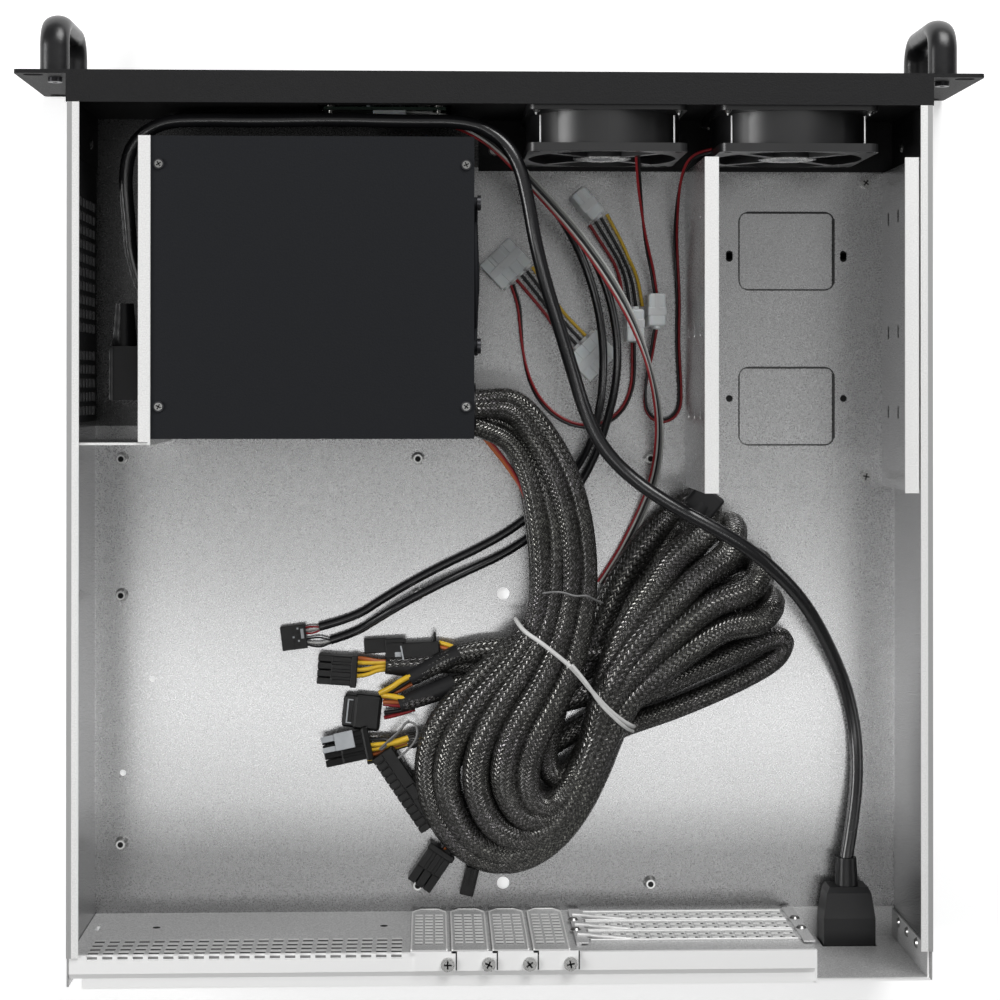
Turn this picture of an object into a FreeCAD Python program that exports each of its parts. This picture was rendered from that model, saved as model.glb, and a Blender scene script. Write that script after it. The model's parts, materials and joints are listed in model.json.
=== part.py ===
import FreeCAD, Part
import math
import os

Vector = FreeCAD.Vector

# ---------------------------------------------------------------------------
# Rackmount server case, 2U, top cover off.  Millimetres, front face towards
# -Y, +X to the right seen from the front, +Z up.  The origin is the middle of
# the whole outline, on the underside of the floor.
# ---------------------------------------------------------------------------

# case shell
case_width = 430.0
case_depth = 454.0
case_height = 88.0
sheet = 1.0
wall_flange = 6.0
screw_fit = 0.05
hole_gap = 0.3

# front panel and its rack ears
ear_to_ear = 482.6
panel_sheet = 2.0
panel_flange = 16.0
panel_overhang = 0.6
panel_tab = 10.0
rack_pitch_x = 465.1
rack_pitch_z = 76.2
rack_slot_width = 6.8
rack_slot_length = 10.0
ear_corner = 2.0

# bow handles
handle_out = 31.0
handle_width = 14.6
handle_bar = 10.0
handle_height = 66.0
handle_inset = 17.6
handle_screw_pitch = 54.0

front_y = (handle_out - case_depth) / 2
rear_y = front_y + case_depth
half_width = case_width / 2
inner_x = half_width - sheet
panel_rear = front_y + panel_sheet
flange_rear = front_y + panel_flange

# bulkhead behind the panel
bulkhead_gap = 11.0
bulkhead_return = 27.0
bulkhead_top_gap = 1.2
bulkhead_front = panel_rear + bulkhead_gap
bulkhead_rear = bulkhead_front + sheet
bulkhead_top = case_height - panel_sheet - bulkhead_top_gap

# case fans
fan_height_gap = 8.0
fan_size = case_height - fan_height_gap
fan_thick = 25.0
fan_flange = 4.2
fan_rim = 2.0
fan_bore = fan_size / 2 - fan_rim
fan_hole_inset = 4.25
fan_hole_pitch = fan_size - 2 * fan_hole_inset
fan_hole = 2.2
fan_lift = 4.0
fan_hub = 15.0
fan_tip_gap = 1.2
fan_blades = 7
fan_spokes = 4
fan_shaft = 1.5
fan_from_wall = 65.0
fan_pitch = 96.2

# power supply
psu_length = 160.0
psu_width = 150.0
psu_headroom = 2.0
psu_height = case_height - psu_headroom
psu_sheet = 0.8
psu_side_gap = 41.0
psu_front_gap = 18.5
psu_fan_offset = 66.0
psu_plug_offset = 32.8
psu_plug_z = 44.0
psu_exit_offset = 14.0
rocker_from_plug = 34.0

# bracket that holds the power supply
bracket_sheet = 1.2
bracket_flange = 6.0
bracket_return_gap = 3.0
bracket_foot = 10.0

# drive cage
cage_width = 107.5
cage_depth = 168.0
cage_height = 85.0
cage_sheet = 1.2
cage_side_gap = 5.5
cage_flange = 7.0
cage_front_gap = 0.8
bay_hole_pitch_x = 61.72
bay_hole_pitch_y = 76.6

# main board seats
seat_inset_x = 14.1
seat_inset_y = 14.8
seat_height = 6.0
seat_radius = 3.5
seat_rim = 2.5
seat_bore = 1.4
board_column_2 = 157.48
board_column_3 = 281.94
board_row_io = 22.86
board_row_2 = 154.94
board_row_3 = 227.33

# rear wall
recess = 16.8
ledge_depth = 9.0
joggle = 1.5
joggle_run = 2.5
lip_drop = 8.0
block_width = 57.0
slot_pitch = 20.32
slot_from_seats = 172.8
cover_width = 18.4
cover_sheet = 0.9
riser_length = 115.0
riser_first_z = 19.0

# sockets, buttons and lamps on the front
io_from_fan = 111.8
io_z = 44.0
io_board_thick = 1.6
io_board_width = 62.0
io_board_height = 34.0
socket_depth = 12.5
button_travel = 1.5

# cords
mains_diameter = 7.0
usb_diameter = 4.5
ribbon_diameter = 4.5
lead_diameter = 2.6
jumper_diameter = 5.0

nodes = {}


def box(x0, x1, y0, y1, z0, z1):
    low = Vector(min(x0, x1), min(y0, y1), min(z0, z1))
    return Part.makeBox(abs(x1 - x0), abs(y1 - y0), abs(z1 - z0), low)


def rod(radius, start, direction, length):
    return Part.makeCylinder(radius, length, Vector(*start), Vector(*direction))


def cone(r0, r1, start, direction, length):
    if abs(r0 - r1) < 1e-6:
        return rod(r0, start, direction, length)
    return Part.makeCone(r0, r1, length, Vector(*start), Vector(*direction))


def fuse(shapes):
    joined = shapes[0].multiFuse(shapes[1:]) if len(shapes) > 1 else shapes[0]
    return joined.removeSplitter()


def cut(shape, tools):
    return shape.cut(Part.makeCompound(tools))


def round_edges(shape, direction, radius):
    """Fillet the straight edges that run along one axis."""
    way = Vector(*direction)
    chosen = []
    for edge in shape.Edges:
        if edge.Curve.TypeId != "Part::GeomLine":
            continue
        if abs(abs(edge.tangentAt(edge.FirstParameter).dot(way)) - 1) < 1e-6:
            chosen.append(edge)
    return shape.makeFillet(radius, chosen)


def round_box(x0, x1, y0, y1, z0, z1, direction, radius):
    return round_edges(box(x0, x1, y0, y1, z0, z1), direction, radius)


def slot_cutter(center, along, across, width, length):
    """A rounded slot: length along the first axis, cut through along the second."""
    along = Vector(*along)
    across = Vector(*across)
    middle = Vector(*center) - across * 0.5
    run = (length - width) / 2
    side = across.cross(along)
    side.normalize()
    ends = []
    for sign in (-1, 1):
        ends.append(Part.makeCylinder(width / 2, across.Length, middle + along * (run * sign), across))
    corner = middle - along * run - side * (width / 2)
    wire = Part.makePolygon([corner, corner + along * (2 * run), corner + along * (2 * run) + side * width,
                             corner + side * width, corner])
    ends.append(Part.Face(wire).extrude(across))
    return fuse(ends)


def screw(head_point, into, shank, length, head, head_height):
    """A pan-head screw: its head sits outside head_point, its shank goes into the work."""
    way = Vector(*into)
    way.normalize()
    start = Vector(*head_point)
    back = start - way * head_height
    cap = Part.makeCylinder(head, head_height, back, way)
    drive = Part.makeCylinder(head * 0.38, head_height * 0.5, back, way)
    body = Part.makeCylinder(shank, length * 0.8, start, way)
    tip = Part.makeCone(shank, shank * 0.45, length * 0.2, start + way * (length * 0.8), way)
    return fuse([cap, body, tip]).cut(drive)


def turned(shape, center, degrees):
    moved = shape.copy()
    moved.rotate(Vector(*center), Vector(0, 0, 1), degrees)
    return moved


# ---------------------------------------------------------------------------
# Front panel: one folded plate with rack ears, a top flange and two side tabs
# ---------------------------------------------------------------------------
panel = [box(-ear_to_ear / 2, ear_to_ear / 2, front_y, panel_rear, 0, case_height)]
panel[0] = round_edges(panel[0], (0, 1, 0), ear_corner)
flange_half = half_width + panel_overhang
panel.append(box(-flange_half, flange_half, front_y + panel_sheet / 2, flange_rear,
                 case_height - panel_sheet, case_height))
tab_low = case_height * 0.12
tab_high = case_height * 0.88
for side in (-1, 1):
    panel.append(box(side * inner_x, side * (inner_x - panel_sheet), front_y + panel_sheet / 2,
                     front_y + panel_tab, tab_low, tab_high))
front_panel = fuse(panel)

panel_cuts = []
for side in (-1, 1):
    for up in (-1, 1):
        panel_cuts.append(slot_cutter((side * rack_pitch_x / 2, front_y + panel_sheet / 2,
                                       case_height / 2 + up * rack_pitch_z / 2),
                                      (1, 0, 0), (0, 3 * panel_sheet, 0), rack_slot_width, rack_slot_length))

# handle screw holes
handle_x = ear_to_ear / 2 - handle_inset
handle_hole = 2.1
for side in (-1, 1):
    for up in (-1, 1):
        panel_cuts.append(rod(handle_hole, (side * handle_x, front_y - 1,
                                            case_height / 2 + up * handle_screw_pitch / 2),
                              (0, 1, 0), panel_sheet + 2))

# side screws through the case walls into the tabs
side_screw = 1.5
side_screw_y = (panel_rear + front_y + panel_tab) / 2
side_screw_z = (case_height * 0.25, case_height * 0.75)
for side in (-1, 1):
    for height in side_screw_z:
        panel_cuts.append(rod(side_screw + screw_fit, (side * (half_width + 1), side_screw_y, height),
                              (-side, 0, 0), panel_sheet + sheet + 3))

# fan grilles: slots in front of each fan
fan_z = sheet + fan_lift + fan_size / 2
fan_right_x = -half_width + fan_from_wall + 1.0
fan_left_x = fan_right_x + fan_pitch
grille_slot = 3.2
grille_pitch = 6.4
grille_rows = 11
for center in (fan_left_x, fan_right_x):
    for row in range(grille_rows):
        offset = (row - (grille_rows - 1) / 2) * grille_pitch
        reach = 2 * math.sqrt(max((fan_bore - 1) ** 2 - offset ** 2, 100.0))
        panel_cuts.append(slot_cutter((center, front_y + panel_sheet / 2, fan_z + offset),
                                      (1, 0, 0), (0, 3 * panel_sheet, 0), grille_slot, reach))

# front sockets, buttons and lamps
io_x = fan_left_x + io_from_fan
board_front = panel_rear + socket_depth
board_rear = board_front + io_board_thick
socket_x = (io_x - 20, io_x - 6)
lamp_x = io_x + 8
button_x = io_x + 19
power_z = io_z + 8
reset_z = io_z - 9
power_radius = 5.0
reset_radius = 3.0
lamp_radius = 1.5
socket_width = 6.4
socket_height = 13.8
socket_shell = 0.5
for x in socket_x:
    panel_cuts.append(box(x - socket_width / 2 - hole_gap, x + socket_width / 2 + hole_gap,
                          front_y - 1, panel_rear + 1,
                          io_z - socket_height / 2 - hole_gap, io_z + socket_height / 2 + hole_gap))
buttons = (("power_button", power_z, power_radius), ("reset_button", reset_z, reset_radius))
for name, height, radius in buttons:
    panel_cuts.append(rod(radius + hole_gap, (button_x, front_y - 1, height), (0, 1, 0), panel_sheet + 2))
for height in (power_z, reset_z):
    panel_cuts.append(rod(lamp_radius + screw_fit, (lamp_x, front_y - 1, height), (0, 1, 0), panel_sheet + 2))
nodes["front_panel"] = cut(front_panel, panel_cuts)

# ---------------------------------------------------------------------------
# Bow handles and their screws
# ---------------------------------------------------------------------------
bar_bend = 12.0
leg_z = (handle_height - handle_bar) / 2
handle_mid = case_height / 2


def bow_handle(x):
    """One cast bow: an oval bar swept round two bends."""
    reach = handle_out - handle_bar / 2
    corner = front_y - reach
    low = handle_mid - leg_z
    high = handle_mid + leg_z
    lift = bar_bend * (1 - math.sqrt(0.5))
    first = Part.Arc(Vector(x, corner + bar_bend, low), Vector(x, corner + lift, low + lift),
                     Vector(x, corner, low + bar_bend)).toShape()
    second = Part.Arc(Vector(x, corner, high - bar_bend), Vector(x, corner + lift, high - lift),
                      Vector(x, corner + bar_bend, high)).toShape()
    path = Part.Wire([
        Part.LineSegment(Vector(x, front_y, low), Vector(x, corner + bar_bend, low)).toShape(),
        first,
        Part.LineSegment(Vector(x, corner, low + bar_bend), Vector(x, corner, high - bar_bend)).toShape(),
        second,
        Part.LineSegment(Vector(x, corner + bar_bend, high), Vector(x, front_y, high)).toShape(),
    ])
    section = Part.Ellipse(Vector(x, front_y, low), handle_width / 2, handle_bar / 2)
    section.Axis = Vector(0, -1, 0)
    section.XAxis = Vector(1, 0, 0)
    return path.makePipeShell([Part.Wire([section.toShape()])], True, False)


handle_thread = 2.0
handle_screw_length = 12.0
handle_screws = []
for side in (-1, 1):
    name = "handle_right" if side > 0 else "handle_left"
    holes = []
    for up in (-1, 1):
        z = handle_mid + up * handle_screw_pitch / 2
        holes.append(rod(handle_thread + screw_fit, (side * handle_x, front_y + 1, z),
                         (0, -1, 0), handle_screw_length))
        handle_screws.append(screw((side * handle_x, panel_rear, z), (0, -1, 0), handle_thread,
                                   handle_screw_length, 3.6, 2.2))
    nodes[name] = cut(bow_handle(side * handle_x), holes)

# ---------------------------------------------------------------------------
# Chassis tray: floor, two walls with inward flanges, all one folded sheet
# ---------------------------------------------------------------------------
wall_rear = rear_y - 1.2
recess_y = rear_y - recess
recess_back = recess_y + sheet
block_x = -half_width + sheet + block_width
block_y = wall_rear - sheet
flange_end = recess_back
tray = [
    box(-half_width, half_width, panel_rear, recess_back, 0, sheet),
    box(-half_width, block_x, panel_rear, wall_rear, 0, sheet),
]
for side in (-1, 1):
    tray.append(box(side * half_width, side * inner_x, panel_rear, wall_rear, 0, case_height - panel_sheet))
    tray.append(box(side * half_width, side * inner_x, flange_rear, flange_end, 0, case_height))
    tray.append(box(side * half_width, side * (half_width - wall_flange), flange_rear, flange_end,
                    case_height - sheet, case_height))
psu_x1 = half_width - psu_side_gap
psu_x0 = psu_x1 - psu_length
psu_y0 = bulkhead_rear + psu_front_gap
psu_y1 = psu_y0 + psu_width
psu_z0 = sheet
psu_z1 = psu_z0 + psu_height
stop_x = psu_x0 + 45.0
stop_height = 7.0
stop_gap = 0.3
tray.append(box(stop_x, stop_x + 6, psu_y1 + stop_gap, psu_y1 + stop_gap + sheet, 0, sheet + stop_height))
tray = fuse(tray)

seat_x = half_width - seat_inset_x - sheet
seat_y = recess_y - seat_inset_y
seats = []
for column, row in ((0, board_row_io), (board_column_2, 0), (board_column_3, 0),
                    (0, board_row_2), (board_column_2, board_row_2), (board_column_3, board_row_2),
                    (0, board_row_3), (board_column_2, board_row_3), (board_column_3, board_row_3)):
    seats.append((seat_x - column, seat_y - row))
seat_room = [rod(seat_radius + hole_gap, (x, y, sheet), (0, 0, 1), seat_height + hole_gap) for x, y in seats]

tray_cuts = []
seat_stud = 2.4
for x, y in seats:
    tray_cuts.append(rod(seat_stud, (x, y, -1), (0, 0, 1), sheet + 2))
floor_hole = 3.3
spare_column = seat_x - board_column_2 - 45.72
for y in (seat_y, seat_y - board_row_2):
    tray_cuts.append(rod(floor_hole, (spare_column, y, -1), (0, 0, 1), sheet + 2))
small_hole = 1.6
tray_cuts.append(rod(small_hole, (seat_x - 16.0, seat_y - 110.0, -1), (0, 0, 1), sheet + 2))
tray_cuts.append(rod(small_hole, (seat_x - 0.5, seat_y - 60.0, -1), (0, 0, 1), sheet + 2))

# vent columns in the wall beside the power supply, cut alike in wall and vent plate
vent_pitch = 7.1
vent_width = 4.6
vent_tall = 7.6
vent_step = 10.6
vent_rows = 6
vent_first = psu_y0 + 30.0
vent_columns = list(range(10)) + list(range(11, 16))
vent_base = sheet + 10.0
vents = []
for column in vent_columns:
    for row in range(vent_rows):
        y = vent_first + column * vent_pitch
        z = vent_base + row * vent_step
        vents.append(box(inner_x - 2 * sheet, half_width + 1, y - vent_width / 2, y + vent_width / 2,
                         z, z + vent_tall))
tray_cuts += vents
for side in (-1, 1):
    for height in side_screw_z:
        tray_cuts.append(rod(side_screw + screw_fit, (side * (half_width + 1), side_screw_y, height),
                             (-side, 0, 0), sheet + 2))

# ---------------------------------------------------------------------------
# Vent plate, bulkhead, rivets
# ---------------------------------------------------------------------------
rivet_shank = 1.6
rivet_head = 2.8
rivet_rise = 1.0
rivets = []


def rivet(point, way, stack):
    """A blind rivet whose head sits at point and whose shank runs along way through the stack."""
    direction = Vector(*way)
    back = Vector(*point) - direction * rivet_rise
    head = Part.makeCone(rivet_head * 0.7, rivet_head, rivet_rise, back, direction)
    shank = Part.makeCylinder(rivet_shank, stack, Vector(*point), direction)
    rivets.append(fuse([head, shank]))
    start = Vector(*point) - direction * 0.1
    return Part.makeCylinder(rivet_shank + screw_fit, stack + 0.2, start, direction)


plate_end = vent_first + 15.8 * vent_pitch
plate_low = 6.0
plate_high = case_height - 8.0
plate_x = inner_x - sheet
bulkhead_wing = bulkhead_rear + bulkhead_return
vent_plate = box(inner_x, plate_x, bulkhead_wing + hole_gap, plate_end, plate_low, plate_high)
plate_rivet_y = (vent_first - 14.0, vent_first + 10.0 * vent_pitch)
plate_holes = []
for y in plate_rivet_y:
    hole = rivet((plate_x, y, case_height * 0.8), (1, 0, 0), 2 * sheet)
    plate_holes.append(hole)
nodes["side_vent_plate"] = cut(vent_plate, vents + plate_holes)
tray_cuts += plate_holes

bulkhead = [
    box(-inner_x, inner_x, bulkhead_front, bulkhead_rear, sheet, bulkhead_top),
    box(-inner_x, psu_x0 - 4 * sheet, bulkhead_front, bulkhead_wing, sheet, 2 * sheet),
]
for side in (-1, 1):
    bulkhead.append(box(side * inner_x, side * (inner_x - sheet), bulkhead_front, bulkhead_wing,
                        sheet, bulkhead_top))
bulkhead = fuse(bulkhead)
bulkhead_cuts = []
fan_screw = 2.0
for center in (fan_left_x, fan_right_x):
    bulkhead_cuts.append(rod(fan_bore - 1, (center, bulkhead_front - 1, fan_z), (0, 1, 0), sheet + 2))
    for side in (-1, 1):
        for up in (-1, 1):
            bulkhead_cuts.append(rod(fan_hole, (center + side * fan_hole_pitch / 2, bulkhead_front - 1,
                                                fan_z + up * fan_hole_pitch / 2), (0, 1, 0), sheet + 2))
window_margin = 3.0
window_x0 = io_x - io_board_width / 2 - window_margin
window_x1 = io_x + io_board_width / 2 + window_margin
bulkhead_cuts.append(box(window_x0, window_x1, bulkhead_front - 1, bulkhead_rear + 1,
                         io_z - io_board_height / 2 - window_margin,
                         io_z + io_board_height / 2 + window_margin))
wing_rivet_y = bulkhead_rear + bulkhead_return * 0.6
for side in (-1, 1):
    hole = rivet((side * (inner_x - sheet), wing_rivet_y, case_height * 0.3), (side, 0, 0), 2 * sheet)
    bulkhead_cuts.append(hole)
    tray_cuts.append(hole)
for x in (-inner_x * 0.8, -inner_x * 0.45, psu_x0 - 12.0):
    hole = rivet((x, wing_rivet_y, 2 * sheet), (0, 0, -1), 2 * sheet)
    bulkhead_cuts.append(hole)
    tray_cuts.append(hole)
nodes["front_bulkhead"] = cut(bulkhead, bulkhead_cuts)

panel_screws = []
for side in (-1, 1):
    for height in side_screw_z:
        start = Vector(side * half_width, side_screw_y, height)
        panel_screws.append(screw(start, (-side, 0, 0), side_screw, 6.0, 2.8, 1.6))
nodes["panel_screws"] = Part.makeCompound(panel_screws + handle_screws)

# ---------------------------------------------------------------------------
# Axial fans
# ---------------------------------------------------------------------------
def fan_frame(size, bore, thick, flange, hole_pitch, hole):
    """A square fan frame about the Y axis: intake face at y = 0, hub and spokes at y = thick."""
    half = size / 2
    body = fuse([
        round_edges(box(-half, half, 0, flange, -half, half), (0, 1, 0), size * 0.06),
        round_edges(box(-half, half, thick - flange, thick, -half, half), (0, 1, 0), size * 0.06),
        rod(half - 0.4, (0, 0, 0), (0, 1, 0), thick),
    ])
    body = body.cut(rod(bore, (0, -1, 0), (0, 1, 0), thick + 2))
    arms = [
        rod(fan_hub, (0, thick - 3, 0), (0, 1, 0), 3),
        rod(4.0, (0, thick - 15, 0), (0, 1, 0), 14),
    ]
    for arm in range(fan_spokes):
        bar = box(fan_hub - 1, bore + 0.5, thick - 3, thick, -2.2, 2.2)
        bar.rotate(Vector(0, 0, 0), Vector(0, 1, 0), 45 + arm * 360 / fan_spokes)
        arms.append(bar)
    body = fuse([body] + arms)
    holes = [rod(fan_shaft + screw_fit, (0, thick - 16, 0), (0, 1, 0), 14)]
    for side in (-1, 1):
        for up in (-1, 1):
            holes.append(rod(hole, (side * hole_pitch / 2, -1, up * hole_pitch / 2), (0, 1, 0), thick + 2))
    return cut(body, holes)


def fan_rotor(bore, thick):
    """Hub cup, shaft and twisted blades about the Y axis, ahead of the hub plate."""
    length = thick - 4.5
    cup = rod(fan_hub + 0.6, (0, 0.8, 0), (0, 1, 0), length - 0.8)
    cup = cup.makeFillet(1.2, [edge for edge in cup.Edges if abs(edge.CenterOfMass.y - 0.8) < 1e-6
                               and edge.Curve.TypeId == "Part::GeomCircle"])
    hollow = rod(fan_hub - 1.2, (0, 3.0, 0), (0, 1, 0), length)
    shaft = rod(fan_shaft, (0, 2.0, 0), (0, 1, 0), thick - 7.5)
    blades = []
    tip = bore - fan_tip_gap
    for blade in range(fan_blades):
        sections = []
        for share, slope, chord in ((0.0, 48, 16.0), (0.5, 38, 21.0), (1.0, 28, 25.0)):
            radius = fan_hub - 0.3 + (tip - fan_hub + 0.3) * share
            across = chord * math.cos(math.radians(slope)) / 2
            along = chord * math.sin(math.radians(slope)) / 2
            middle = length / 2 + 0.6
            sweep = 9.0 * share
            corners = []
            for u, w in ((-1, -0.6), (1, -0.6), (1, 0.6), (-1, 0.6)):
                corners.append(Vector(u * across + sweep, middle + u * along + w, math.sqrt(
                    max(radius ** 2 - (u * across + sweep) ** 2, 9.0))))
            sections.append(Part.makePolygon(corners + [corners[0]]))
        solid = Part.makeLoft(sections, True, True)
        solid.rotate(Vector(0, 0, 0), Vector(0, 1, 0), blade * 360 / fan_blades)
        blades.append(solid)
    blades = fuse(blades).common(rod(tip, (0, 1.0, 0), (0, 1, 0), length - 1.2))
    blades = blades.cut(rod(fan_hub - 0.2, (0, 0, 0), (0, 1, 0), thick))
    return fuse([cup.cut(hollow), shaft, blades])


frame_shape = fan_frame(fan_size, fan_bore, fan_thick, fan_flange, fan_hole_pitch, fan_hole - 0.15)
rotor_shape = fan_rotor(fan_bore, fan_thick)
fan_screws = []
fan_screw_length = 6.5
for name, center in (("left", fan_left_x), ("right", fan_right_x)):
    place = Vector(center, bulkhead_rear, fan_z)
    nodes["fan_frame_" + name] = frame_shape.translated(place)
    nodes["fan_rotor_" + name] = rotor_shape.translated(place)
    for side in (-1, 1):
        for up in (-1, 1):
            fan_screws.append(screw((center + side * fan_hole_pitch / 2, bulkhead_front,
                                     fan_z + up * fan_hole_pitch / 2), (0, 1, 0), fan_screw,
                                    fan_screw_length, 3.8, 2.0))
nodes["fan_screws"] = Part.makeCompound(fan_screws)

# ---------------------------------------------------------------------------
# Front board, sockets, switches, lamps, buttons
# ---------------------------------------------------------------------------
board = box(io_x - io_board_width / 2, io_x + io_board_width / 2, board_front, board_rear,
            io_z - io_board_height / 2, io_z + io_board_height / 2)
spacer_inset = 3.5
spacer_radius = 2.5
spacers = []
board_cuts = []
for side in (-1, 1):
    for up in (-1, 1):
        x = io_x + side * (io_board_width / 2 - spacer_inset)
        z = io_z + up * (io_board_height / 2 - spacer_inset)
        post = rod(spacer_radius, (x, panel_rear, z), (0, 1, 0), socket_depth)
        pin = rod(1.5, (x, panel_rear, z), (0, 1, 0), socket_depth + io_board_thick + 1.5)
        spacers.append(fuse([post, pin]))
        board_cuts.append(rod(1.5 + screw_fit, (x, board_front - 1, z), (0, 1, 0), io_board_thick + 2))
nodes["io_board"] = cut(board, board_cuts)
nodes["io_spacers"] = Part.makeCompound(spacers)

sockets = []
for x in socket_x:
    front = front_y + 0.4
    shell = box(x - socket_width / 2, x + socket_width / 2, front, board_front,
                io_z - socket_height / 2, io_z + socket_height / 2)
    hollow = box(x - socket_width / 2 + socket_shell, x + socket_width / 2 - socket_shell, front - 1,
                 board_front - 2, io_z - socket_height / 2 + socket_shell,
                 io_z + socket_height / 2 - socket_shell)
    tongue = box(x + 0.3, x + 2.0, front + 0.8, board_front - 1.5, io_z - 5.5, io_z + 5.5)
    sockets.append(fuse([shell.cut(hollow), tongue]))
nodes["usb_sockets"] = Part.makeCompound(sockets)

switch_side = 7.0
switch_front = board_front - 5.0
stem_radius = 1.5
switches = []
for name, height, radius in buttons:
    block = box(button_x - switch_side / 2, button_x + switch_side / 2, switch_front, board_front,
                height - switch_side / 2, height + switch_side / 2)
    bore = rod(stem_radius + hole_gap, (button_x, switch_front - 1, height), (0, 1, 0), 5.2)
    switches.append(block.cut(bore))
    rim_front = panel_rear + hole_gap
    cap = rod(radius, (button_x, front_y - button_travel - 0.5, height), (0, 1, 0),
              panel_sheet + button_travel + 1.5)
    rim = rod(radius + 1.2, (button_x, rim_front, height), (0, 1, 0), 1.0)
    stem = rod(stem_radius, (button_x, rim_front, height), (0, 1, 0), switch_front + 1.5 - rim_front)
    nodes[name] = fuse([cap, rim, stem])
nodes["tact_switches"] = Part.makeCompound(switches)
lamps = []
for height in (power_z, reset_z):
    lamps.append(rod(lamp_radius, (lamp_x, front_y - 0.4, height), (0, 1, 0), board_front - front_y + 0.4))
nodes["panel_leds"] = Part.makeCompound(lamps)

# ---------------------------------------------------------------------------
# Power supply: folded base and cover, inlet, rocker switch, fan, board
# ---------------------------------------------------------------------------
plug_y = psu_y1 - psu_plug_offset
rocker_y = plug_y - rocker_from_plug
exit_y = psu_y1 - psu_exit_offset
exit_z = 45.0
exit_radius = 12.0
psu_fan_y = psu_y0 + psu_fan_offset + 2.0
psu_fan_z = psu_z0 + psu_height / 2
base = fuse([
    box(psu_x0, psu_x1, psu_y0 + psu_sheet, psu_y1 - psu_sheet, psu_z0, psu_z0 + psu_sheet),
    box(psu_x0, psu_x0 + psu_sheet, psu_y0 + psu_sheet, psu_y1 - psu_sheet, psu_z0, psu_z1 - psu_sheet),
    box(psu_x1 - psu_sheet, psu_x1, psu_y0 + psu_sheet, psu_y1 - psu_sheet, psu_z0, psu_z1 - psu_sheet),
    box(psu_x0, psu_x0 + 8, psu_y0 + psu_sheet, psu_y1 - psu_sheet,
        psu_z1 - 2 * psu_sheet, psu_z1 - psu_sheet),
    box(psu_x1 - 8, psu_x1, psu_y0 + psu_sheet, psu_y1 - psu_sheet,
        psu_z1 - 2 * psu_sheet, psu_z1 - psu_sheet),
])
cover = fuse([
    box(psu_x0, psu_x1, psu_y0, psu_y1, psu_z1 - psu_sheet, psu_z1),
    box(psu_x0, psu_x1, psu_y0, psu_y0 + psu_sheet, psu_z0, psu_z1),
    box(psu_x0, psu_x1, psu_y1 - psu_sheet, psu_y1, psu_z0, psu_z1),
])
lid_screw = 1.5
lid_points = []
for x in (psu_x0 + 4.0, psu_x1 - 4.0):
    for y in (psu_y0 + 14.0, psu_y1 - 16.0):
        lid_points.append((x, y))
base_cuts = []
cover_cuts = []
psu_screws = []
for x, y in lid_points:
    hole = rod(lid_screw + screw_fit, (x, y, psu_z1 - 8), (0, 0, 1), 10)
    base_cuts.append(hole)
    cover_cuts.append(hole)
    psu_screws.append(screw((x, y, psu_z1), (0, 0, -1), lid_screw, 5.0, 2.6, 0.9))

# the wall at the inlet end: socket, switch and round vents
inlet_wide = 27.0
inlet_tall = 20.0
switch_wide = 15.0
switch_tall = 21.0
base_cuts.append(box(psu_x1 - 2, psu_x1 + 1, plug_y - inlet_wide / 2, plug_y + inlet_wide / 2,
                     psu_plug_z - inlet_tall / 2, psu_plug_z + inlet_tall / 2))
base_cuts.append(box(psu_x1 - 2, psu_x1 + 1, rocker_y - switch_wide / 2, rocker_y + switch_wide / 2,
                     psu_plug_z - switch_tall / 2, psu_plug_z + switch_tall / 2))
for row in range(7):
    for column in range(6):
        shift = 4.0 if row % 2 else 0.0
        base_cuts.append(rod(3.0, (psu_x1 + 1, psu_y0 + 14 + shift + column * 8.0, psu_z0 + 15 + row * 9.0),
                             (-1, 0, 0), 3))
base_cuts.append(rod(fan_bore - 1, (psu_x0 - 1, psu_fan_y, psu_fan_z), (1, 0, 0), psu_sheet + 2))
base_cuts.append(rod(exit_radius, (psu_x0 - 1, exit_y, exit_z), (1, 0, 0), psu_sheet + 2))
psu_fan_screw_points = []
for side in (-1, 1):
    for up in (-1, 1):
        y = psu_fan_y + side * fan_hole_pitch / 2
        z = psu_fan_z + up * fan_hole_pitch / 2
        psu_fan_screw_points.append((y, z))
        base_cuts.append(rod(fan_hole, (psu_x0 - 1, y, z), (1, 0, 0), psu_sheet + 2))

# bracket plate and its screws into the power supply
bracket_x = psu_x1
bracket_out = bracket_x + bracket_sheet
bracket_low = sheet
bracket_high = case_height
return_y = psu_y1 + bracket_return_gap
bracket = fuse([
    box(bracket_x, bracket_out, psu_y0, return_y, bracket_low, bracket_high),
    box(bracket_x, bracket_out + bracket_flange - bracket_sheet, psu_y0, psu_y1 + 1.5,
        bracket_high - bracket_sheet, bracket_high),
    box(bracket_x, inner_x, return_y - bracket_sheet, return_y, bracket_low, bracket_high - 2 * sheet),
    box(bracket_x, bracket_out + bracket_foot, psu_y0, psu_y1 - 20, bracket_low, bracket_low + bracket_sheet),
])
frame_margin = 12.0
bracket_cuts = [box(bracket_x - 1, bracket_out + 1, psu_y0 + frame_margin, psu_y1 - frame_margin,
                    psu_z0 + 10, psu_z1 - 10)]
psu_mount = 1.9
for y in (psu_y0 + 6.0, psu_y1 - 6.0):
    for z in (psu_z0 + 6.0, psu_z0 + 70.0):
        hole = rod(psu_mount + screw_fit, (bracket_out + 2, y, z), (-1, 0, 0), 12)
        bracket_cuts.append(hole)
        base_cuts.append(hole)
        psu_screws.append(screw((bracket_out, y, z), (-1, 0, 0), psu_mount, 6.0, 3.6, 2.2))
for y in (psu_y0 + 25.0, psu_y1 - 32.0):
    hole = rivet((bracket_out + bracket_foot * 0.55, y, bracket_low + bracket_sheet), (0, 0, -1),
                 bracket_sheet + sheet)
    bracket_cuts.append(hole)
    tray_cuts.append(hole)
nodes["psu_bracket"] = cut(bracket, bracket_cuts)

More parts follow.
